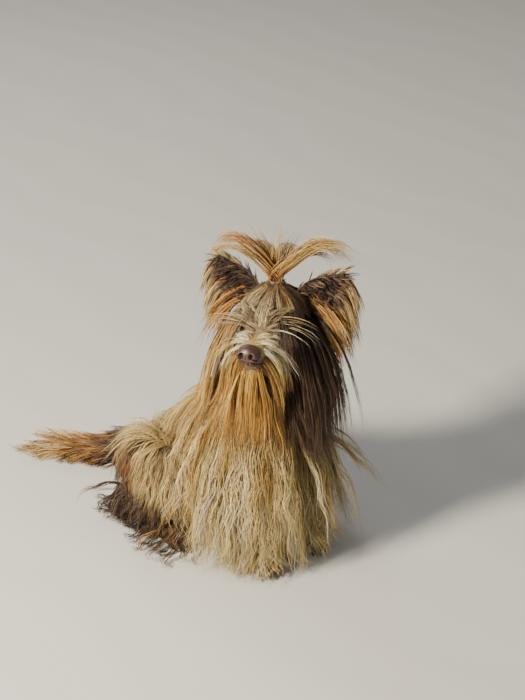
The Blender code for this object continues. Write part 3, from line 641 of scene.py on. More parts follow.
def strands_from(guides, surface):
    """Children round each guide, with the guide's colours and lock number, as arrays."""
    points, outward, widths, colours, roots = [], [], [], [], []
    for number, guide in enumerate(guides):
        style = guide["style"]
        path = np.array(guide["path"])
        out = np.array(guide["outward"])
        count, steps = style["kids"], len(path)
        t = np.linspace(0, 1, steps)
        along = normalised(np.gradient(path, axis=0))
        across = normalised(np.cross(along, out))
        out = normalised(np.cross(across, along))
        turn = CHANCES.uniform(0, 2 * np.pi, count)
        reach = style["spread"] * np.sqrt(CHANCES.uniform(0, 1, count))
        start = across[1] * (np.cos(turn) * reach)[:, None] + along[1] * (np.sin(turn) * reach * 0.8)[:, None]
        seeds = path[0] + start
        ends = []
        for k in range(count):
            near, _, face, _ = surface.tree.find_nearest(Vector(seeds[k]))
            ends.append((near.x, near.y, near.z, face))
        ends = np.array(ends)
        offset = ends[:, :3] - out[0] * 0.0010 - path[0]
        gather = 1 - style["clump"] * t**0.9
        lift = np.maximum(t, 0.02) ** 0.8
        spin = CHANCES.uniform(0, 2 * np.pi, count)
        fan = style["fan"] * CHANCES.uniform(0.3, 1, count)
        side = np.cos(spin) * fan
        rise = np.abs(np.sin(spin)) * fan * 0.7
        length = style["length"]
        phase = guide["phase"] + CHANCES.normal(0, 0.5, count)
        turns = 2 * np.pi * length / style["wavelength"]
        wave = style["wave"] * CHANCES.uniform(0.6, 1.3, count)
        swing = np.sin(phase[:, None] + turns * t[None] ** 1.1) * (wave[:, None] * t[None] ** 0.9)
        curl = np.cos(phase[:, None] + turns * t[None] ** 1.1) * (0.45 * wave[:, None] * t[None])
        made = path[None] + offset[:, None] * gather[None, :, None]
        made = made + across[None] * (swing + side[:, None] * lift[None])[..., None]
        made = made + out[None] * (np.abs(curl) + rise[:, None] * lift[None])[..., None]
        made = made + CHANCES.normal(0, style["frizz"], (count, steps, 3)) * t[None, :, None]
        cut = CHANCES.uniform(0.72, 1.0, count) ** style["cut"]
        reach_t = t[None] * cut[:, None] * (steps - 1)
        low = np.clip(reach_t.astype(int), 0, steps - 2)
        share = (reach_t - low)[..., None]
        rows = np.arange(count)[:, None]
        made = made[rows, low] * (1 - share) + made[rows, low + 1] * share
        made[..., 2] = np.maximum(made[..., 2], HAIR_LOW)
        ways = out[low] * (1 - share) + out[low + 1] * share
        width = style["width"] * CHANCES.uniform(0.7, 1.25, count)[:, None]
        profile = (0.5 + 0.5 * np.sin(np.pi * np.minimum(1, 0.12 + t * 0.9))) * (1 - 0.75 * t**3)
        points.append(made)
        outward.append(ways)
        widths.append(width * profile[None])
        colours.append(guide["tone"](made, t))
        roots.append(np.column_stack((ends, np.full(count, number))))
    return [np.concatenate(rows) for rows in (points, outward, widths, colours, roots)]


def strand_mesh(name, points, outward, widths, colours, flat):
    """One object of closed, three-sided, tapering strands."""
    count, steps = points.shape[:2]
    along = normalised(np.gradient(points, axis=1))
    roll = CHANCES.normal(0, 0.5, count)[:, None, None]
    across = normalised(np.cross(along, outward))
    out = normalised(np.cross(across, along))
    across, out = across * np.cos(roll) + out * np.sin(roll), out * np.cos(roll) - across * np.sin(roll)
    half = widths[..., None] / 2
    rings = steps - 1
    body = np.stack(
        (
            points + across * half - out * half * 0.25,
            points - across * half - out * half * 0.25,
            points + out * half * 0.75,
        ),
        axis=2,
    )[:, :rings]
    verts = np.concatenate((body.reshape(count, rings * 3, 3), points[:, -1:]), axis=1)
    verts[..., 2] = np.maximum(verts[..., 2], EDGE_LOW)
    per = rings * 3 + 1
    tris = [(0, 2, 1)]
    for i in range(rings - 1):
        for k in range(3):
            a, b = 3 * i + k, 3 * i + (k + 1) % 3
            tris += [(a, b, b + 3), (a, b + 3, a + 3)]
    last = 3 * (rings - 1)
    tris += [(last + k, last + (k + 1) % 3, per - 1) for k in range(3)]
    tris = np.array(tris, np.int32)
    faces = (tris[None] + (np.arange(count, dtype=np.int32) * per)[:, None, None]).reshape(-1, 3)
    mesh = bpy.data.meshes.new(name)
    mesh.vertices.add(count * per)
    mesh.vertices.foreach_set("co", verts.astype(np.float32).ravel())
    mesh.loops.add(len(faces) * 3)
    mesh.loops.foreach_set("vertex_index", faces.ravel())
    mesh.polygons.add(len(faces))
    mesh.polygons.foreach_set("loop_start", np.arange(0, len(faces) * 3, 3, dtype=np.int32))
    mesh.polygons.foreach_set("use_smooth", np.ones(len(faces), bool))
    mesh.update(calc_edges=True)
    shade = np.ones((count, per, 4), np.float32)
    shade[:, : rings * 3, :3] = np.repeat(colours[:, :rings], 3, axis=1)
    shade[:, -1, :3] = colours[:, -1]
    layer = mesh.color_attributes.new("coat", "FLOAT_COLOR", "POINT")
    layer.data.foreach_set("color", shade.ravel())
    level = np.append(np.repeat(np.linspace(0, 1, rings), 3), 1.0)
    aside = np.append(np.tile((-0.5, 0.5, 0.0), rings), 0.0)
    patch = flat[:, None] + 0.0013 * np.stack((aside, level - 0.5), axis=1)[None]
    uv = mesh.uv_layers.new(name="OFBake")
    corners = np.clip(patch, 0, 1).reshape(-1, 2)[faces.ravel()]
    uv.data.foreach_set("uv", corners.astype(np.float32).ravel())
    obj = bpy.data.objects.new(name, mesh)
    bpy.context.scene.collection.objects.link(obj)
    return obj


def mixture(choices):
    """A colour picked by weight, drawn part of the way to the mean of its choices."""
    weights = np.array([weight for weight, _ in choices])
    weights = weights / weights.sum()
    mean = sum(weight * colour for weight, (_, colour) in zip(weights, choices))
    return choices[int(CHANCES.choice(len(choices), p=weights))][1] * 0.72 + mean * 0.28


def marked(points, colours):
    """The dark markings of the hind feet and the rust patch on each haunch laid over colours, by place, and painted
    shade in the gap between the chest and the right flank.
    """
    aside, back, high = np.abs(points[..., 0]), points[..., 1], points[..., 2]
    foot = np.clip((0.052 - high) / 0.022, 0, 1) * np.clip((back - 0.012) / 0.030, 0, 1)
    foot = foot * np.clip((aside - 0.015) / 0.02, 0, 1) * np.clip((0.145 - back) / 0.02, 0, 1)
    away = np.sqrt((aside - 0.084) ** 2 + (back - 0.106) ** 2 + (high - 0.052) ** 2)
    patch = np.clip((0.034 - away) / 0.018, 0, 1) * 0.75
    level = colours.mean(axis=-1, keepdims=True)
    rusty = RUST * (0.55 + level * 2.2)
    dark = CHOCOLATE * (0.45 + level * 2.6)
    colours = colours * (1 - patch[..., None]) + rusty * patch[..., None]
    foot = 0.86 * foot[..., None]
    colours = colours * (1 - foot) + dark * foot
    # painted shade: a rust-dark band on the dog's right, where the flank meets the chest's column, for the shadow in
    # that gap
    gap_shade = np.clip(1.2 - np.abs(back - 0.010) / 0.012, 0, 1) * np.clip((0.125 - high) / 0.03, 0, 1)
    gap_shade = 0.5 * (gap_shade * (points[..., 0] < 0))[..., None]
    return colours * (1 - gap_shade) + rusty * gap_shade


def toned(root_mix, tip_mix, turn, dark):
    """Colours along a lock: from a root's mix to a tip's, with painted shade that darkens it towards the root, and
    strands that differ.
    """
    start, end, other = mixture(root_mix), mixture(tip_mix), mixture(tip_mix)
    level = math.exp(CHANCES.normal(0.0, 0.11))

    def tone(points, t):
        count = points.shape[0]
        share = 1 / (1 + np.exp(-(t[None] - turn + CHANCES.normal(0, 0.15, count)[:, None]) * 7))
        ends = np.where(CHANCES.random(count)[:, None] < 0.42, other[None], end[None])
        colour = start[None, None] * (1 - share[..., None]) + ends[:, None] * share[..., None]
        gain = level * np.exp(CHANCES.normal(-0.05, 0.34, count))[:, None, None]
        # painted shade: each strand darkens towards its root, by dark, for the shade among the inner hair
        shade = 1 - min(1.35 * dark, 0.8) * np.exp(-t * 3.6)
        return marked(points, np.clip(colour * gain * shade[None, :, None], 0.004, 0.70))

    return tone


def style_of(lie, length, **more):
    """The shape of a lock, with the usual values for what isn't given."""
    made = {
        "lie": Vector(lie),
        "length": length,
        "lift": 0.30,
        "sag": 0.25,
        "clear": 0.018,
        "wave": 0.0036,
        "wavelength": 0.060,
        "kids": 11,
        "spread": 0.0062,
        "clump": 0.36,
        "fan": 0.0050,
        "frizz": 0.0006,
        "width": 0.00074,
        "steps": 8,
        "cut": 1.0,
        "pull": None,
    }
    made.update(more)
    return made


def guide_of(path, outward, style, tone, phase=None):
    """A lock's middle line with all that its strands need."""
    phase = CHANCE.uniform(0, 6) if phase is None else phase
    return {"path": path, "outward": outward, "style": style, "tone": tone, "phase": phase}


def clamped(value):
    """The value kept between 0 and 1."""
    return min(max(value, 0), 1)


def headed(x, y, z):
    """A way in the head's own frame as a way in the dog's."""
    return HEAD_TURN @ Vector((x, y, z))


def side_of(value):
    """1 on the dog's left, -1 on its right."""
    return 1 if value > 0 else -1


def from_middle(p):
    """The level way from the middle of the chest out to a place."""
    away = Vector((p.x, p.y + 0.005, 0))
    return away.normalized() if away.length > 0.001 else Vector((0, -1, 0))


# Mixes of colours with their weights, for the roots and tips of locks
CHEST_ROOT = ((3, BLOND), (2, TAUPE), (2, GOLD))
CHEST_TIP = ((4, CREAM), (3, BLOND), (2, WHITE), (1, GOLD))
# The flank's taupe and rust roots are partly the coat's own colour and partly painted shade of its inner layers
FLANK_ROOT = ((3, TAUPE), (1, RUST), (3, BLOND))
FLANK_TIP = ((3, BLOND), (5, CREAM), (1, GOLD), (1, TAUPE))
RUMP_ROOT = ((3, RUST), (2, TAUPE), (2, CHOCOLATE))
RUMP_TIP = ((2, BLOND), (2, RUST), (2, TAUPE), (1, CREAM))


def trunk_lock(p, n):
    """The long coat parts along the spine and hangs to the floor in front, shorter behind."""
    side = side_of(p.x)
    top = max(n.z, 0)
    if p.y < 0.0:
        tone = toned(CHEST_ROOT, CHEST_TIP, 0.35, 0.4)
        reach = min(0.160, 1.02 * p.z + 0.016)
        lie = from_middle(p) * 0.24 + Vector((side * 0.7 * top, 0, -1))
        return style_of(
            lie, reach, lift=0.26 - 0.2 * top, sag=0.26 + 0.6 * top, clear=0.024 - 0.008 * top, wave=0.0084,
            wavelength=0.045, kids=12, fan=0.0072, steps=10,
        ), tone
    if p.y > 0.090:
        tone = toned(RUMP_ROOT, RUMP_TIP, 0.55, 0.4)
        lie = (side * (0.5 - 0.3 * top), 1.2 * top, -0.9)
        return style_of(lie, 0.052, lift=0.08, sag=0.45, clear=0.001, wave=0.0024, wavelength=0.036, fan=0.002), tone
    tone = toned(FLANK_ROOT, FLANK_TIP, 0.55, 0.45)
    middle = top * clamped((0.012 - abs(p.x)) / 0.008)
    lie = (side * (0.25 + 1.0 * top - 1.2 * middle), 0.02 + 0.7 * top + 0.6 * middle, -1)
    sag = 0.40 + 0.3 * top
    return style_of(lie, 0.086, lift=0.06, sag=sag, clear=0.006, wave=0.0048, wavelength=0.044, steps=9), tone


def neck_lock(p, n):
    """The mane spreads over the shoulders."""
    side = side_of(p.x)
    back = 0.35 if p.y > -0.03 else -0.15
    if side > 0:
        tone = toned(((3, CHOCOLATE), (2, DARK), (1, TAUPE)), ((3, TAUPE), (2, BLOND), (2, CHOCOLATE)), 0.7, 0.4)
    else:
        tone = toned(((2, GOLD), (2, TAUPE), (1, RUST)), ((3, BLOND), (2, GOLD), (2, CREAM)), 0.45, 0.4)
    sag = 0.42 + 0.5 * max(n.z, 0)
    return style_of((side * 0.3, back, -1), 0.118, lift=0.18, sag=sag, clear=0.015, wave=0.0045, kids=12), tone


def leg_lock(p, n):
    """The forelegs carry long feathers down to the floor."""
    tone = toned(CHEST_ROOT, CHEST_TIP, 0.3, 0.4)
    lie = from_middle(p) * 0.4 + Vector((0, 0, -1))
    top = max(n.z, 0)
    return style_of(
        lie, p.z + 0.018, lift=0.35 * (1 - top), sag=0.30 + 0.9 * top, clear=0.014, wave=0.0060,
        wavelength=0.046, steps=7,
    ), tone


def thigh_lock(p, n):
    """The haunch's coat hangs back over the hock."""
    side = side_of(p.x)
    if p.y > 0.085:
        tone = toned(RUMP_ROOT, RUMP_TIP, 0.5, 0.4)
    else:
        tone = toned(FLANK_ROOT, FLANK_TIP, 0.4, 0.4)
    lie = (side * 0.20, -0.05, -1)
    sag = 0.45 + 0.6 * max(n.z, 0)
    return style_of(lie, 0.050, lift=0.04, sag=sag, clear=0.002, wave=0.0044, wavelength=0.032, fan=0.003), tone


def shank_lock(p, n):
    """Curled dark locks fall over the hind foot and lie round it on the floor."""
    tips = ((3, CHOCOLATE), (2, RUST), (1, TAUPE), (2, GOLD))
    tone = toned(((3, DARK), (2, CHOCOLATE)), tips, 0.55, 0.3)
    lie = (side_of(p.x) * 0.9, 0.1, -0.7)
    return style_of(
        lie, 0.066, lift=0.26, sag=0.36, clear=0.008, wave=0.0058, wavelength=0.028, steps=10, kids=9, spread=0.004,
        clump=0.65,
    ), tone


def paw_lock(p, n):
    """Short hair over the toes."""
    tone = toned(CHEST_ROOT, CHEST_TIP, 0.3, 0.4)
    lie = (side_of(p.x) * 0.2, -1, -0.4)
    return style_of(lie, 0.018, clear=0.003, wave=0.0008, steps=4, kids=7, spread=0.0025, width=0.0008), tone


def tail_lock(p, n):
    """The plume lies along the tail; it is dark at the root, gold further out and cream at the tip."""
    s = clamped((p.y - 0.142) / 0.112)
    lie = Vector((-0.22 - 0.55 * s, 1, -0.10)) + Vector((n.x * 0.25, 0, 0))
    if s < 0.05:
        root, tip = ((3, CHOCOLATE), (1, DARK)), ((2, TAUPE), (2, CHOCOLATE), (1, BLOND))
    elif s < 0.19:
        root, tip = ((3, DARK), (1, CHOCOLATE)), ((3, DARK), (2, CHOCOLATE))
    elif s < 0.30:
        root, tip = ((3, DARK), (2, CHOCOLATE)), ((3, CHOCOLATE), (2, RUST), (1, ORANGE))
    elif s < 0.57:
        root, tip = ((2, RUST), (2, CHOCOLATE)), ((3, ORANGE), (1, RUST), (1.5, GOLD))
    else:
        root, tip = ((3, ORANGE), (1, RUST)), ((4, CREAM), (1, WHITE), (1, GOLD))
    tone = toned(root, tip, 0.60, 0.2)
    return style_of(
        lie, 0.054, lift=0.08, sag=0.06, clear=0.004 + 0.005 * s, wave=0.0020, wavelength=0.05, steps=7, kids=14,
        spread=0.004, clump=0.30, fan=0.0034, width=0.0008,
    ), tone


def head_lock(p, n):
    """The head's locks, by their place in its own frame."""
    q = HEAD_INVERSE @ p
    side = side_of(q.x)
    left = side > 0
    if min((p - eye).length for eye in EYES) < EYE_HAIR and q.z > -0.009:
        tone = toned(((3, CHOCOLATE), (1, TAUPE)), ((2, TAUPE), (1, CHOCOLATE)), 0.6, 0.2)
        return style_of(
            headed(side * 1.0, 0.1, 0.5 if q.z > 0.004 else -0.8), 0.013, lift=0.18, sag=0.1,
            clear=0.003, wave=0.0003, kids=6, spread=0.0016, fan=0.0006, frizz=0.0002, width=0.0006, steps=4,
        ), tone
    if q.y < -0.036:
        # muzzle: short and parted on the bridge, long at its sides
        down = clamped((0.002 - q.z) / 0.014)
        length = 0.017 + 0.085 * down**1.5
        # dark roots low on the muzzle: partly the dark hair at the mouth corners, partly painted shade under the
        # moustache
        if down > 0.5:
            root = ((3, CHOCOLATE), (1, RUST), (1, GOLD))
            tip = ((5, GOLD), (1, BLOND), (2, ORANGE))
            if left:
                tip = ((3, GOLD), (2, BLOND), (1, ORANGE), (1, WHITE))
            tone = toned(root, tip, 0.16, 0.2)
        else:
            tone = toned(((3, CREAM), (2, TAUPE), (2, WHITE)), ((3, CREAM), (1, BLOND), (2, WHITE)), 0.5, 0.1)
        if q.z > 0.003:
            tone = toned(((5, TAUPE), (1, CREAM)), ((4, TAUPE), (2, CREAM), (1, CHOCOLATE)), 0.5, 0.15)
            # over the stop: fine, rising and parting over the eyes
            return style_of(
                headed(side * 0.7, 0.3, 0.9), 0.020, lift=0.10, sag=0.10, clear=0.002, wave=0.0004,
                kids=11, spread=0.0024, fan=0.0014, frizz=0.0002, width=0.00045, steps=5,
            ), tone
        return style_of(
            headed(side * 1.0, 0.50, -0.1 - 1.3 * down), length, lift=0.14, sag=0.50, clear=0.009,
            wave=0.0014, kids=12, spread=0.0028, fan=0.0026, frizz=0.0003, width=0.00052,
            steps=5 if length < 0.04 else 8,
        ), tone
    if q.z > 0.006 and q.y < 0.020 and abs(q.x) < 0.0315 or q.z > 0.024:
        # forehead and crown: drawn up to the band
        root = ((5, TAUPE), (1, BLOND), (2, CHOCOLATE))
        tip = ((4, TAUPE), (1, ORANGE), (1, BLOND), (2, CHOCOLATE))
        if abs(q.x) < 0.010 and q.y < -0.018:
            root = ((1, CREAM), (1, BLOND), (5, TAUPE))
        tone = toned(root, tip, 0.45, 0.15)
        return style_of(
            GATHERED - p, (GATHERED - p).length, lift=0.20, sag=0.0, clear=0.004, wave=0.0005, kids=12,
            spread=0.0034, clump=0.85, fan=0.0010, frizz=0.0002, width=0.0005, steps=6, pull=GATHERED, cut=0.15,
        ), tone
    if q.y > 0.016:
        tone = toned(((3, CHOCOLATE), (2, TAUPE)), ((2, TAUPE), (2, BLOND), (1, CHOCOLATE)), 0.6, 0.3)
        return style_of(
            headed(side * 0.35, 0.45, -1), 0.092, lift=0.40, clear=0.022, wave=0.0020, kids=9,
            spread=0.0036, width=0.0009,
        ), tone
    # cheeks and temples: long curtains; on the dog's left they are dark, partly the coat's own chocolate and partly
    # painted shade
    high = clamped((q.z + 0.02) / 0.04)
    length = 0.112 + 0.034 * high
    if left:
        root = ((3, CHOCOLATE), (4, DARK))
        tip = ((5, CHOCOLATE), (2, DARK), (2, TAUPE), (1, RUST))
        tone = toned(root, tip, 0.6, 0.2)
    else:
        root = ((2, TAUPE), (2, RUST), (2, GOLD))
        tip = ((4, GOLD), (1, TAUPE), (1, BLOND), (2, ORANGE), (1, CREAM))
        tone = toned(root, tip, 0.40, 0.25)
    return style_of(
        headed(side * 0.3, -0.10, -0.9), length, lift=0.26 + 0.16 * high + 0.30 * left, sag=0.56,
        clear=0.015 + 0.018 * left, wave=0.0026, wavelength=0.070, kids=13, spread=0.0044, clump=0.22,
        fan=0.0044,
    ), tone


def beard_lock(p, n):
    """The beard's locks under the jaw."""
    q = HEAD_INVERSE @ p
    # the outer locks' dark roots are partly dark hair at the mouth corners and partly painted shade under the moustache
    if abs(q.x) > 0.0095:
        tone = toned(((3, DARK), (2, CHOCOLATE)), ((3, GOLD), (1, RUST), (2, ORANGE)), 0.40, 0.1)
    else:
        tone = toned(((1, BLOND), (5, GOLD)), ((5, ORANGE), (3, GOLD), (1, BLOND)), 0.35, 0.05)
    return style_of(
        headed(side_of(q.x) * 0.12, 0.10, -1), 0.096, lift=0.22, sag=0.45, clear=0.010, wave=0.0020,
        kids=12, spread=0.0028, width=0.0008,
    ), tone


def ear_locks(side):
    """A function that gives the ear's short hair, dark inside the cup and brown behind."""
    axis, across, opening = ear_axes(side)

    def lock_at(p, n):
        inside = n.dot(HEAD_TURN @ opening) > 0.2
        foot = HEAD_INVERSE @ p - Vector((side * EAR_ROOT.x, EAR_ROOT.y, EAR_ROOT.z))
        outer = foot.dot(across) / (EAR_WIDTH / 2)
        if inside:
            tone = toned(((3, DARK), (1, CHOCOLATE)), ((2, DARK), (2, CHOCOLATE)), 0.5, 0.1)
            length = 0.014
        else:
            tone = toned(((3, CHOCOLATE), (1, TAUPE)), ((2, TAUPE), (2, CHOCOLATE)), 0.5, 0.1)
            length = 0.018
        lie = HEAD_TURN @ (axis * 0.8 + across * (0.5 + 0.5 * outer) + Vector((0, 0, -0.1)))
        return style_of(
            lie, length, lift=0.10, sag=0.08, clear=0.0025, wave=0.0003, kids=7, spread=0.0018, fan=0.0006,
            frizz=0.0002, width=0.0006, steps=4,
        ), tone

    return lock_at


def loose_guide(start, way, length, tone, sag=0.26, **more):
    """A guide in the head's frame that isn't laid over the skin."""
    style = style_of(
        way, length, kids=10, spread=0.0015, clump=0.45, fan=0.0024, wave=0.0009, wavelength=0.05, frizz=0.0004,
        width=0.0007, steps=7,
    )
    style.update(more)
    along = (HEAD_TURN @ Vector(way)).normalized()
    path = [HEAD_AT @ start]
    for _ in range(style["steps"]):
        along = (along + Vector((0, 0, -sag))).normalized()
        path.append(path[-1] + along * (length / style["steps"]))
    return guide_of(path, [FACING] * len(path), style, tone)


def fringe_guides(side):
    """Guides of the long hair that hangs from the ear's edges and its root."""
    axis, across, opening = ear_axes(side)
    pale = ((3, CREAM), (3, BLOND), (1, TAUPE))
    guides = []
    for i in range(54):
        t = 0.12 + 0.88 * (i + CHANCE.random()) / 54
        start = ear_point(side, t, 0.84 + 0.14 * CHANCE.random()) - opening * (EAR_THICKNESS * CHANCE.uniform(0.1, 0.9))
        way = across * 0.8 + axis * 0.45 + opening * CHANCE.uniform(-0.30, 0.25)
        tone = toned(((3, CHOCOLATE), (2, TAUPE), (1, ORANGE)), pale, 0.62, 0.1)
        length = CHANCE.uniform(0.040, 0.070) * (1 - 0.8 * max(t - 0.6, 0))
        guides.append(loose_guide(start, way, length, tone, 0.36))
    for i in range(22):
        t = 0.55 + 0.45 * (i + CHANCE.random()) / 22
        start = ear_point(side, t, -0.95 + 0.1 * CHANCE.random()) - opening * (EAR_THICKNESS * 0.5)
        way = axis * 0.9 - across * 0.15 + opening * CHANCE.uniform(-0.3, 0.3)
        tone = toned(((3, TAUPE), (1, CHOCOLATE)), ((2, TAUPE), (2, CREAM)), 0.5, 0.1)
        length = CHANCE.uniform(0.009, 0.019)
        guides.append(loose_guide(start, way, length, tone, 0.1, kids=7, fan=0.0014))
    count = 28 if side > 0 else 9
    for i in range(count):
        start = ear_point(side, 0.06 + 0.20 * i / count, CHANCE.uniform(-0.3, 0.6))
        way = Vector((side * 1.0, -0.40, 0.05 - 0.8 * (i % 6) / 6))
        tips = ((3, ORANGE), (2, CREAM), (1, BLOND)) if side > 0 else ((3, ORANGE), (2, GOLD))
        tone = toned(((3, ORANGE), (1, RUST)), tips, 0.6, 0.1)
        guides.append(loose_guide(start, way, CHANCE.uniform(0.055, 0.086), tone, 0.24, kids=9))
    return guides


def brow_guides(surface):
    """Fine loose hair: arcs over the brows, streaks up to the band, moustache, veil over the eyes, chin."""
    guides = []

    def lay(foot, way, length, tones, **more):
        place, normal, _, _ = surface.tree.find_nearest(HEAD_AT @ Vector(foot))
        shape = {
            "clear": 0.006, "wave": 0.0006, "wavelength": 0.07, "spread": 0.0028, "clump": 0.0, "fan": 0.0036,
            "frizz": 0.0002, "width": 0.00042, "steps": 7,
        }
        shape.update(more)
        aim = shape["pull"] - place if "pull" in shape else HEAD_TURN @ Vector(way)
        style = style_of(aim, length if length else aim.length * CHANCE.uniform(0.6, 1.0), **shape)
        path, outward = drape(place, normal, style, surface)
        tone = toned(*tones, 0.5, 0.0)
        guides.append(guide_of(path, outward, style, tone))

    pale = (((1, WHITE), (3, CREAM), (1, TAUPE)), ((1, WHITE), (2, CREAM), (3, TAUPE)))
    for i in range(130):
        side = 1 if i % 2 else -1
        out, more = CHANCE.random(), CHANCE.random()
        left = side > 0
        if i < 14:
            foot = (side * (0.002 + 0.010 * out), -0.036 + 0.004 * more, 0.006 + 0.005 * more)
            way = (side * (0.5 + 0.7 * out), -0.25, 0.85 - 0.35 * out)
            lay(foot, way, CHANCE.uniform(0.040, 0.066), pale, lift=0.24, sag=0.27, kids=2)
        elif i < 38:
            foot = (side * 0.013 * out, -0.034 + 0.010 * more, 0.008)
            lay(foot, None, None, pale, lift=0.20, sag=0.0, kids=4, spread=0.0026, pull=GATHERED, fan=0.0022, cut=0.6)
        elif i < 52:
            foot = (side * (0.004 + 0.007 * out), -0.050 - 0.010 * more, 0.0)
            tones = pale if left else (((3, CREAM), (1, TAUPE)), ((3, GOLD), (2, BLOND), (1, CREAM)))
            way = (side, 0.6 * more - 0.1, 0.3 - 0.5 * out)
            lay(foot, way, CHANCE.uniform(0.040, 0.078), tones, lift=0.36, sag=0.38, kids=3, clear=0.009, fan=0.006)
        elif i < 100:
            foot = (side * (0.010 + 0.014 * out), -0.030, 0.011 + 0.004 * more)
            dark = (((3, CHOCOLATE), (1, TAUPE)), ((2, CHOCOLATE), (2, TAUPE)))
            tones = dark if left else (((2, TAUPE), (1, CHOCOLATE)), ((2, TAUPE), (3, GOLD), (1, CREAM)))
            way = (side * (0.05 + 0.4 * more), -0.5, -0.6)
            lay(foot, way, CHANCE.uniform(0.032, 0.056), tones, lift=0.34, sag=0.32, kids=6, clear=0.0095)
        else:
            foot = (0.009 * (2 * out - 1), -0.063, -0.0265 + 0.003 * more)
            tones = (((1, CREAM), (5, GOLD)), ((5, ORANGE), (3, GOLD)))
            length = CHANCE.uniform(0.055, 0.085)
            lay(foot, (0.1 * side, -0.30, -1), length, tones, lift=0.30, sag=0.40, kids=6, width=0.0006)
    return guides


def shoulder_guides(surface):
    """The tuft that stands out from the left elbow."""
    guides = []
    for _ in range(104):
        aim = Vector((0.050, -0.066 + 0.050 * CHANCE.random(), 0.078 + 0.052 * CHANCE.random()))
        place, normal, _, _ = surface.tree.find_nearest(aim)
        tone = toned(((2, TAUPE), (2, BLOND)), ((3, CREAM), (2, WHITE), (1, BLOND)), 0.4, 0.3)
        style = style_of(
            (0.40, -0.40 + 0.3 * CHANCE.random(), -1.0), CHANCE.uniform(0.070, 0.098), lift=0.55, sag=0.50, clear=0.016,
            wave=0.0062, wavelength=0.038, kids=10, steps=9, fan=0.007,
        )
        path, outward = drape(place, normal, style, surface)
        guides.append(guide_of(path, outward, style, tone))
    return guides


# The topknot's tufts: number of hairs, and the knots of their curve
TOPKNOT = (
    (130, in_metres((0, -40, 460), (-130, -60, 600), (-290, -60, 730), (-450, -40, 750),
        (-570, -30, 670), (-650, -30, 530))),
    (60, in_metres((-10, -20, 470), (-90, 20, 620), (-200, 40, 780), (-340, 50, 930))),
    (26, in_metres((0, -30, 480), (10, -70, 650), (10, -60, 830), (30, 0, 1010))),
    (26, in_metres((10, -20, 470), (70, 20, 620), (130, 60, 780), (210, 110, 910))),
    (50, in_metres((10, -40, 470), (130, -80, 600), (260, -80, 720), (390, -70, 830))),
    (130, in_metres((0, -40, 460), (160, -30, 610), (320, -20, 770), (480, 0, 810),
        (640, 10, 730), (770, 20, 610))),
    (40, in_metres((10, -20, 460), (120, 80, 600), (240, 180, 680), (380, 260, 640), (470, 300, 520))),
    (40, in_metres((-10, -20, 460), (-100, 100, 610), (-220, 210, 680), (-340, 300, 620), (-410, 340, 500))),
    (40, in_metres((0, -10, 460), (10, 130, 620), (10, 280, 670), (20, 410, 580), (20, 480, 440))),
)


def topknot_guides():
    """Guides of the fan above the band. Each passes through the band from the crown."""
    guides = []
    for kids, knots in TOPKNOT:
        rows = [(0.0, -0.003, 0.034), (0.0, -0.003, 0.0405), *knots]
        places = [Vector(row) for row in refined(rows, 3)]
        last = len(places) - 1
        for _ in range(9):
            away = Vector([CHANCE.uniform(-1, 1) for _ in range(3)]) * (0.009 if kids > 45 else 0.004)
            path = [HEAD_AT @ (place + away * (i / last)) for i, place in enumerate(places)]
            kept = [path[int(round(k * last / 8))] for k in range(9)]
            tips = ((3, CREAM), (3, GOLD), (1, ORANGE), (1, RUST))
            tone = toned(((2, ORANGE), (3, RUST), (1, GOLD)), tips, 0.5, 0.45)
            style = style_of(
                (0, 0, 1), 0.07, kids=kids // 6, spread=0.0020, clump=0.30, fan=0.0026, wave=0.0006,
                wavelength=0.07, frizz=0.0004, width=0.0007,
            )
            guides.append(guide_of(kept, [FACING] * 9, style, tone))
    return guides


def nose_piece():
    """The nose leather, with two nostrils, their slits and the groove between them."""
    parts = [ellipsoid("leather", NOSE_CENTRE, (0.0112, 0.0085, 0.0088))]
    parts.append(ellipsoid("base", NOSE_CENTRE + Vector((0, 0.004, -0.003)), (0.0085, 0.0080, 0.0085)))
    for side in (1, -1):
        wing = NOSE_CENTRE + Vector((side * 0.0062, -0.0030, -0.0010))
        parts.append(ellipsoid("wing", wing, (0.0052, 0.0060, 0.0058)))
    made = remeshed(joined("nose_leather", parts), 0.0006, 3)
    cuts = []
    for side in (1, -1):
        hole = NOSE_CENTRE + Vector((side * 0.0050, -0.0088, -0.0004))
        cuts.append(ellipsoid("nostril", hole, (0.0027, 0.0054, 0.0032)))
        for k in range(4):
            slit = NOSE_CENTRE + Vector((side * (0.0060 + 0.0014 * k), -0.0090 + 0.0012 * k, -0.0018 - 0.0006 * k))
            cuts.append(ellipsoid("slit", slit, (0.0013, 0.0040, 0.0009)))
    cuts.append(ellipsoid("groove", NOSE_CENTRE + Vector((0, -0.0098, -0.0040)), (0.0006, 0.0028, 0.0075)))
    cutter = remeshed(joined("cutter", cuts), 0.0004, 1)
    modifier = made.modifiers.new("cut", "BOOLEAN")
    modifier.operation = "DIFFERENCE"
    modifier.solver = "EXACT"
    modifier.object = cutter
    baked(made)
    remove(cutter)
    remeshed(made, 0.00045, 2)
    return placed(made, HEAD_AT)


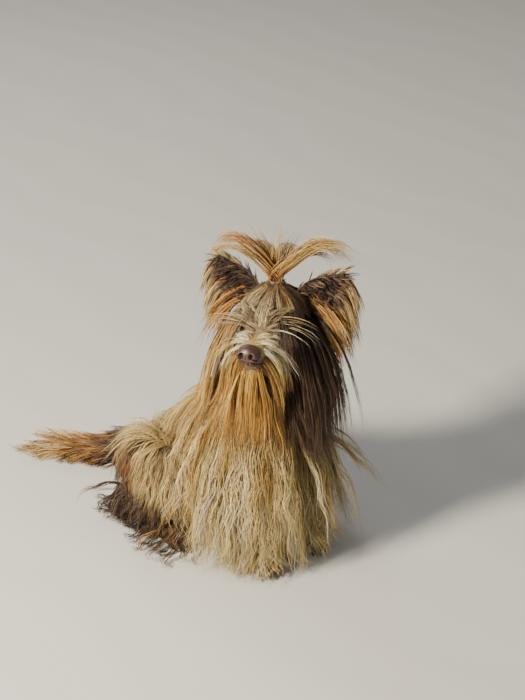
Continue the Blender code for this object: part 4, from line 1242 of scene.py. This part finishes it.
def ring_piece(name, centre, axis, major, minor, section, shape):
    """A closed ring about axis. shape gives its stretch, lift and thickness at each angle."""
    axis = axis.normalized()
    across = Vector((1, 0, 0))
    first = (across - axis * across.dot(axis)).normalized()
    second = axis.cross(first)
    around = 48
    bm = bmesh.new()
    rings = []
    for i in range(around):
        a = 2 * math.pi * i / around
        wide, high, lift, thick = shape(a)
        out = first * (math.cos(a) * wide) + second * (math.sin(a) * high)
        ring = []
        for k in range(section):
            b = 2 * math.pi * k / section
            rim = out.normalized() * (minor * thick * math.cos(b))
            ring.append(bm.verts.new(centre + out * major + axis * lift + rim + axis * (minor * thick * math.sin(b))))
        rings.append(ring)
    for a, b in zip(rings, rings[1:] + rings[:1]):
        for k in range(section):
            bm.faces.new((a[k], a[(k + 1) % section], b[(k + 1) % section], b[k]))
    return object_of(name, bm)


def smooth_shaded(obj, material):
    """obj with one material and smooth shading."""
    obj.data.materials.clear()
    obj.data.materials.append(material)
    obj.data.polygons.foreach_set("use_smooth", np.ones(len(obj.data.polygons), bool))
    return obj


def skin_colours(obj):
    """Paints the coat's markings on the skin, as functions of place, mostly darkened as painted shade of the deep coat.
    """
    mesh = obj.data
    places = np.empty(len(mesh.vertices) * 3, np.float32)
    mesh.vertices.foreach_get("co", places)
    places = places.reshape(-1, 3).astype(float)
    inverse = np.array(HEAD_INVERSE)
    q = places @ inverse[:3, :3].T + inverse[:3, 3]
    # painted shade: the undercoat is the blond coat at 0.3, and several later colours are scaled down, for the shade
    # deep among the strands where gaps show the skin
    colour = np.tile(BLOND * 0.3, (len(places), 1))
    streak = 0.5 + 0.5 * smooth_noise(places, 0.02, 5)
    colour = colour * (0.7 + 0.5 * streak[:, None])

    def lay(mask, tint):
        nonlocal colour
        mask = np.clip(mask, 0, 1)[:, None]
        colour = colour * (1 - mask) + tint * mask

    lay((places[:, 1] - 0.030) / 0.03, TAUPE * 0.4)
    lay((places[:, 1] - 0.085) / 0.03, RUST * 0.6)
    lay((0.03 - places[:, 2]) / 0.01 * (places[:, 1] > 0.0), CHOCOLATE)
    lay((places[:, 1] - 0.150) / 0.01, CHOCOLATE)
    lay((places[:, 1] - 0.225) / 0.01, ORANGE)
    skull = np.linalg.norm(q / np.array((0.045, 0.085, 0.045)), axis=1) < 1
    head = skull | (q[:, 2] > 0.02) & (places[:, 2] > 0.25)
    lay(head.astype(float), CHOCOLATE)
    lay(head * np.clip((-0.036 - q[:, 1]) / 0.006, 0, 1), TAUPE * 0.8)
    muzzle = head * np.clip((-0.045 - q[:, 1]) / 0.006, 0, 1)
    lay(muzzle * (q[:, 2] > -0.010), BLOND * 0.6)
    lay(muzzle * np.clip((-0.012 - q[:, 2]) / 0.003, 0, 1), CHOCOLATE)
    ears = (q[:, 2] > 0.026) & (np.abs(q[:, 0]) > 0.026)
    lay(ears.astype(float), DARK)
    layer = mesh.color_attributes.new("coat", "FLOAT_COLOR", "POINT")
    layer.data.foreach_set("color", np.column_stack((colour, np.ones(len(colour)))).astype(np.float32).ravel())


def off_face(p, n):
    """Whether hair may grow on this place of the head: off the eyes, the nose and the gathered hair."""
    q = HEAD_INVERSE @ p
    if min((p - eye).length for eye in EYES) < EYE_BARE and q.y < -0.028:
        return False
    return (p - HEAD_AT @ NOSE_CENTRE).length > NOSE_BARE and q.z <= CROWN_BARE


def anywhere(p, n):
    """Hair may grow on all of the form."""
    return True


# Each kind of hair: its name, its forms, the distance between roots, where they may be, and its locks
PLAN = (
    ("body", ["trunk"], 0.0066, lambda p, n: n.z > -0.75, trunk_lock),
    ("mane", ["neck"], 0.0068, anywhere, neck_lock),
    ("legs", ["foreleg_left", "foreleg_right"], 0.0072, lambda p, n: p.z > 0.014, leg_lock),
    ("haunches", ["thigh_left", "thigh_right"], 0.0068, lambda p, n: p.z > 0.02, thigh_lock),
    ("hocks", ["shank_left", "shank_right", "hindpaw_left", "hindpaw_right"], 0.0080,
     lambda p, n: p.z > 0.008 and n.z > -0.3, shank_lock),
    ("paws", ["forepaw_left", "forepaw_right"], 0.0042, lambda p, n: n.z > 0.0, paw_lock),
    ("tail", ["tail"], 0.0050, anywhere, tail_lock),
    ("head", ["head"], 0.0034, off_face, head_lock),
    ("beard", ["jaw"], 0.0032, lambda p, n: n.z < 0.35 and off_face(p, n), beard_lock),
    ("ears", ["ear_left"], 0.0028, anywhere, ear_locks(1)),
    ("ears", ["ear_right"], 0.0028, anywhere, ear_locks(-1)),
)


def coat_guides(forms, surface):
    """The guides of all hair, in groups of one name and one number of steps."""
    groups = {}
    for name, sources, spacing, allowed, lock_at in PLAN:
        for source in sources:
            roots = roots_on(forms[source], surface, spacing, allowed)
            phases = smooth_noise(np.array([tuple(p) for p, _ in roots]), 0.05, 9) * 5
            for (p, n), phase in zip(roots, phases):
                style, tone = lock_at(p, n)
                path, outward = drape(p, n, style, surface)
                groups.setdefault((name, style["steps"]), []).append(guide_of(path, outward, style, tone, phase))
    groups.setdefault(("ears", 7), []).extend(fringe_guides(1) + fringe_guides(-1))
    groups.setdefault(("topknot", 8), []).extend(topknot_guides())
    groups.setdefault(("head", 7), []).extend(brow_guides(surface))
    groups.setdefault(("body", 9), []).extend(shoulder_guides(surface))
    return groups


def coat_pieces(groups, surface):
    """The coat's objects, each of at most PIECE_TRIANGLES."""
    coat = coat_material()
    pieces = []
    for (name, steps), guides in groups.items():
        *strands, roots = strands_from(guides, surface)
        strands.append(surface.unwrapped(roots[:, :3], roots[:, 3].astype(int)))
        each = 6 * (steps - 1) + 4
        limit = PIECE_TRIANGLES // each
        for part, first in enumerate(range(0, len(roots), limit)):
            obj = strand_mesh(f"coat_{name}_{steps}_{part}", *(rows[first : first + limit] for rows in strands))
            obj.data.materials.append(coat)
            pieces.append(obj)
    return pieces


def face_pieces(shift):
    """Eyeballs, lids and lips."""
    dark_skin = leather_material("lid_skin", (0.012, 0.007, 0.006), (0.03, 0.016, 0.012), 1500, 0.0001)
    pieces = []
    for (side, word), centre in zip(SIDES, EYE_CENTRES):
        gaze = Vector((side * GAZE.x, GAZE.y, GAZE.z)).normalized()
        ball = placed(ellipsoid("eyeball_" + word, centre, (EYE_RADIUS * 0.99,) * 3, 48, 32), HEAD_AT)
        smooth_shaded(ball, eye_material(shift @ (HEAD_AT @ centre), HEAD_TURN @ gaze))
        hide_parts("eye_" + word)
        lids = ring_piece(
            "lids_" + word, centre + gaze * 0.0040, gaze, 0.0066, 0.0016, 12,
            lambda a: (1.0, 0.84, -0.0010 * abs(math.cos(a)), 1.15 if math.sin(a) > 0 else 0.85),
        )
        lip = loft("lip_" + word, refined(mirrored(LIP, side), 4), 12, floor=False)
        for obj in (lids, lip):
            smooth_shaded(placed(obj, HEAD_AT), dark_skin)
        pieces += [ball, lids, lip]
    return pieces


def band_pieces():
    """Three turns of the elastic band."""
    pink = ridged_material("band_cloth", (0.50, 0.13, 0.10), (0.85, 0.36, 0.30), 0.6, 900, 2)
    turns = []
    for k, (drop, reach) in enumerate(((-0.0012, 0.0052), (0.0012, 0.0054), (0.0001, 0.0059))):
        turn = ring_piece(
            f"band_turn_{k}", BAND_PLACE + Vector((0, 0, drop)), Vector((0.04 * k, 0.03, 1)), reach, 0.0012, 10,
            lambda a, k=k: (1.0, 1.0, 0.0004 * math.sin(2 * a + 2 * k), 1 + 0.12 * math.sin(5 * a + k)),
        )
        turns.append(smooth_shaded(placed(turn, HEAD_AT), pink))
    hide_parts("hair_band")
    return turns


def claw_pieces():
    """The claws of each paw as one piece."""
    horn = ridged_material("claw_horn", (0.03, 0.018, 0.012), (0.09, 0.055, 0.035), 0.35, 300, 3)
    pieces = []
    for side, word in SIDES:
        for paw, aside, front, _, level in PAWS:
            claws = []
            for across, back in TOES:
                x, y = side * aside + across, front + CLAW_FRONT + back
                rows = [(x, y + ahead, level + drop, wide, high) for ahead, drop, wide, high in CLAW]
                claws.append(loft("claw", refined(rows, 3), 10))
            pieces.append(smooth_shaded(joined(f"claws_{word}_{paw}", claws), horn))
    return pieces


def studio():
    """A pale floor, soft light from all sides and three lamps."""
    grid = bmesh.new()
    bmesh.ops.create_grid(grid, x_segments=1, y_segments=1, size=6)
    floor = object_of("floor", grid)
    floor.data.materials.append(ridged_material("pale_floor", (0.60, 0.60, 0.58), (0.62, 0.62, 0.60), 0.9, 3, 8))
    world = bpy.data.worlds.new("soft_light")
    bpy.context.scene.world = world
    world.use_nodes = True
    world.node_tree.nodes["Background"].inputs["Color"].default_value = (1.0, 0.98, 0.94, 1)
    world.node_tree.nodes["Background"].inputs["Strength"].default_value = 0.25
    for name, place, size, power, tint in (
        ("key", (-1.65, 0.00, 1.10), 0.34, 104, (1.0, 0.90, 0.72)),
        ("fill", (0.9, -1.6, 1.0), 1.6, 4, (0.98, 0.97, 1.0)),
        ("rim", (0.3, 1.6, 1.4), 1.0, 12, (1.0, 0.96, 0.90)),
    ):
        data = bpy.data.lights.new(name, "AREA")
        data.size, data.energy, data.color = size, power, tint
        stand(bpy.data.objects.new(name, data), Vector(place), Vector((0, 0, 0.15)) - Vector(place))


def stand(obj, place, way):
    """Stands a lamp or the camera at a place, facing a way."""
    obj.location = place
    obj.rotation_mode = "QUATERNION"
    obj.rotation_quaternion = way.to_track_quat("-Z", "Y")
    bpy.context.scene.collection.objects.link(obj)


def camera_on(aim):
    """The photo's camera, from in front and above."""
    data = bpy.data.cameras.new("camera")
    data.lens = VIEW_LENS
    data.sensor_width = 36
    data.clip_start = 0.05
    camera = bpy.data.objects.new("camera", data)
    level = math.cos(VIEW_RISE)
    back = Vector((math.sin(VIEW_TURN) * level, -math.cos(VIEW_TURN) * level, math.sin(VIEW_RISE)))
    stand(camera, aim + back * VIEW_AWAY, -back)
    bpy.context.scene.camera = camera


def main():
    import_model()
    for obj in [o for o in bpy.data.objects if o.type in {"CAMERA", "LIGHT"}]:
        bpy.data.objects.remove(obj)
    cad_low, cad_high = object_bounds()
    low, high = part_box("eye_left")
    shift = Matrix.Translation((low + high) / 2 - EYES[0])

    skin, forms = skin_of()
    unwrap(skin)
    skin_colours(skin)
    surface = Surface(skin)
    own_low, own_high = shift.inverted() @ Vector(cad_low), shift.inverted() @ Vector(cad_high)
    spare = Vector((0.004, 0.004, 0))
    surface.reach = (own_low - spare, own_high + spare)
    smooth_shaded(skin, skin_material())
    pieces = coat_pieces(coat_guides(forms, surface), surface)
    remove(*forms.values())

    nose_leather = leather_material("nose_skin", (0.030, 0.012, 0.009), (0.072, 0.029, 0.021), 1400, 0.00025)
    nose = smooth_shaded(nose_piece(), nose_leather)
    pieces += [skin, nose, *face_pieces(shift), *band_pieces(), *claw_pieces()]
    for obj in pieces:
        placed(obj, shift)
        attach(obj, "root")
    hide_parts("nose")
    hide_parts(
        "torso", "neck", "head", "jaw", "tail", "topknot", "ear_left", "ear_right",
        "foreleg_left", "foreleg_right", "forepaw_left", "forepaw_right", "thigh_left", "thigh_right",
        "shank_left", "shank_right", "hindpaw_left", "hindpaw_right",
    )
    studio()
    camera_on(shift @ AIM)


main()
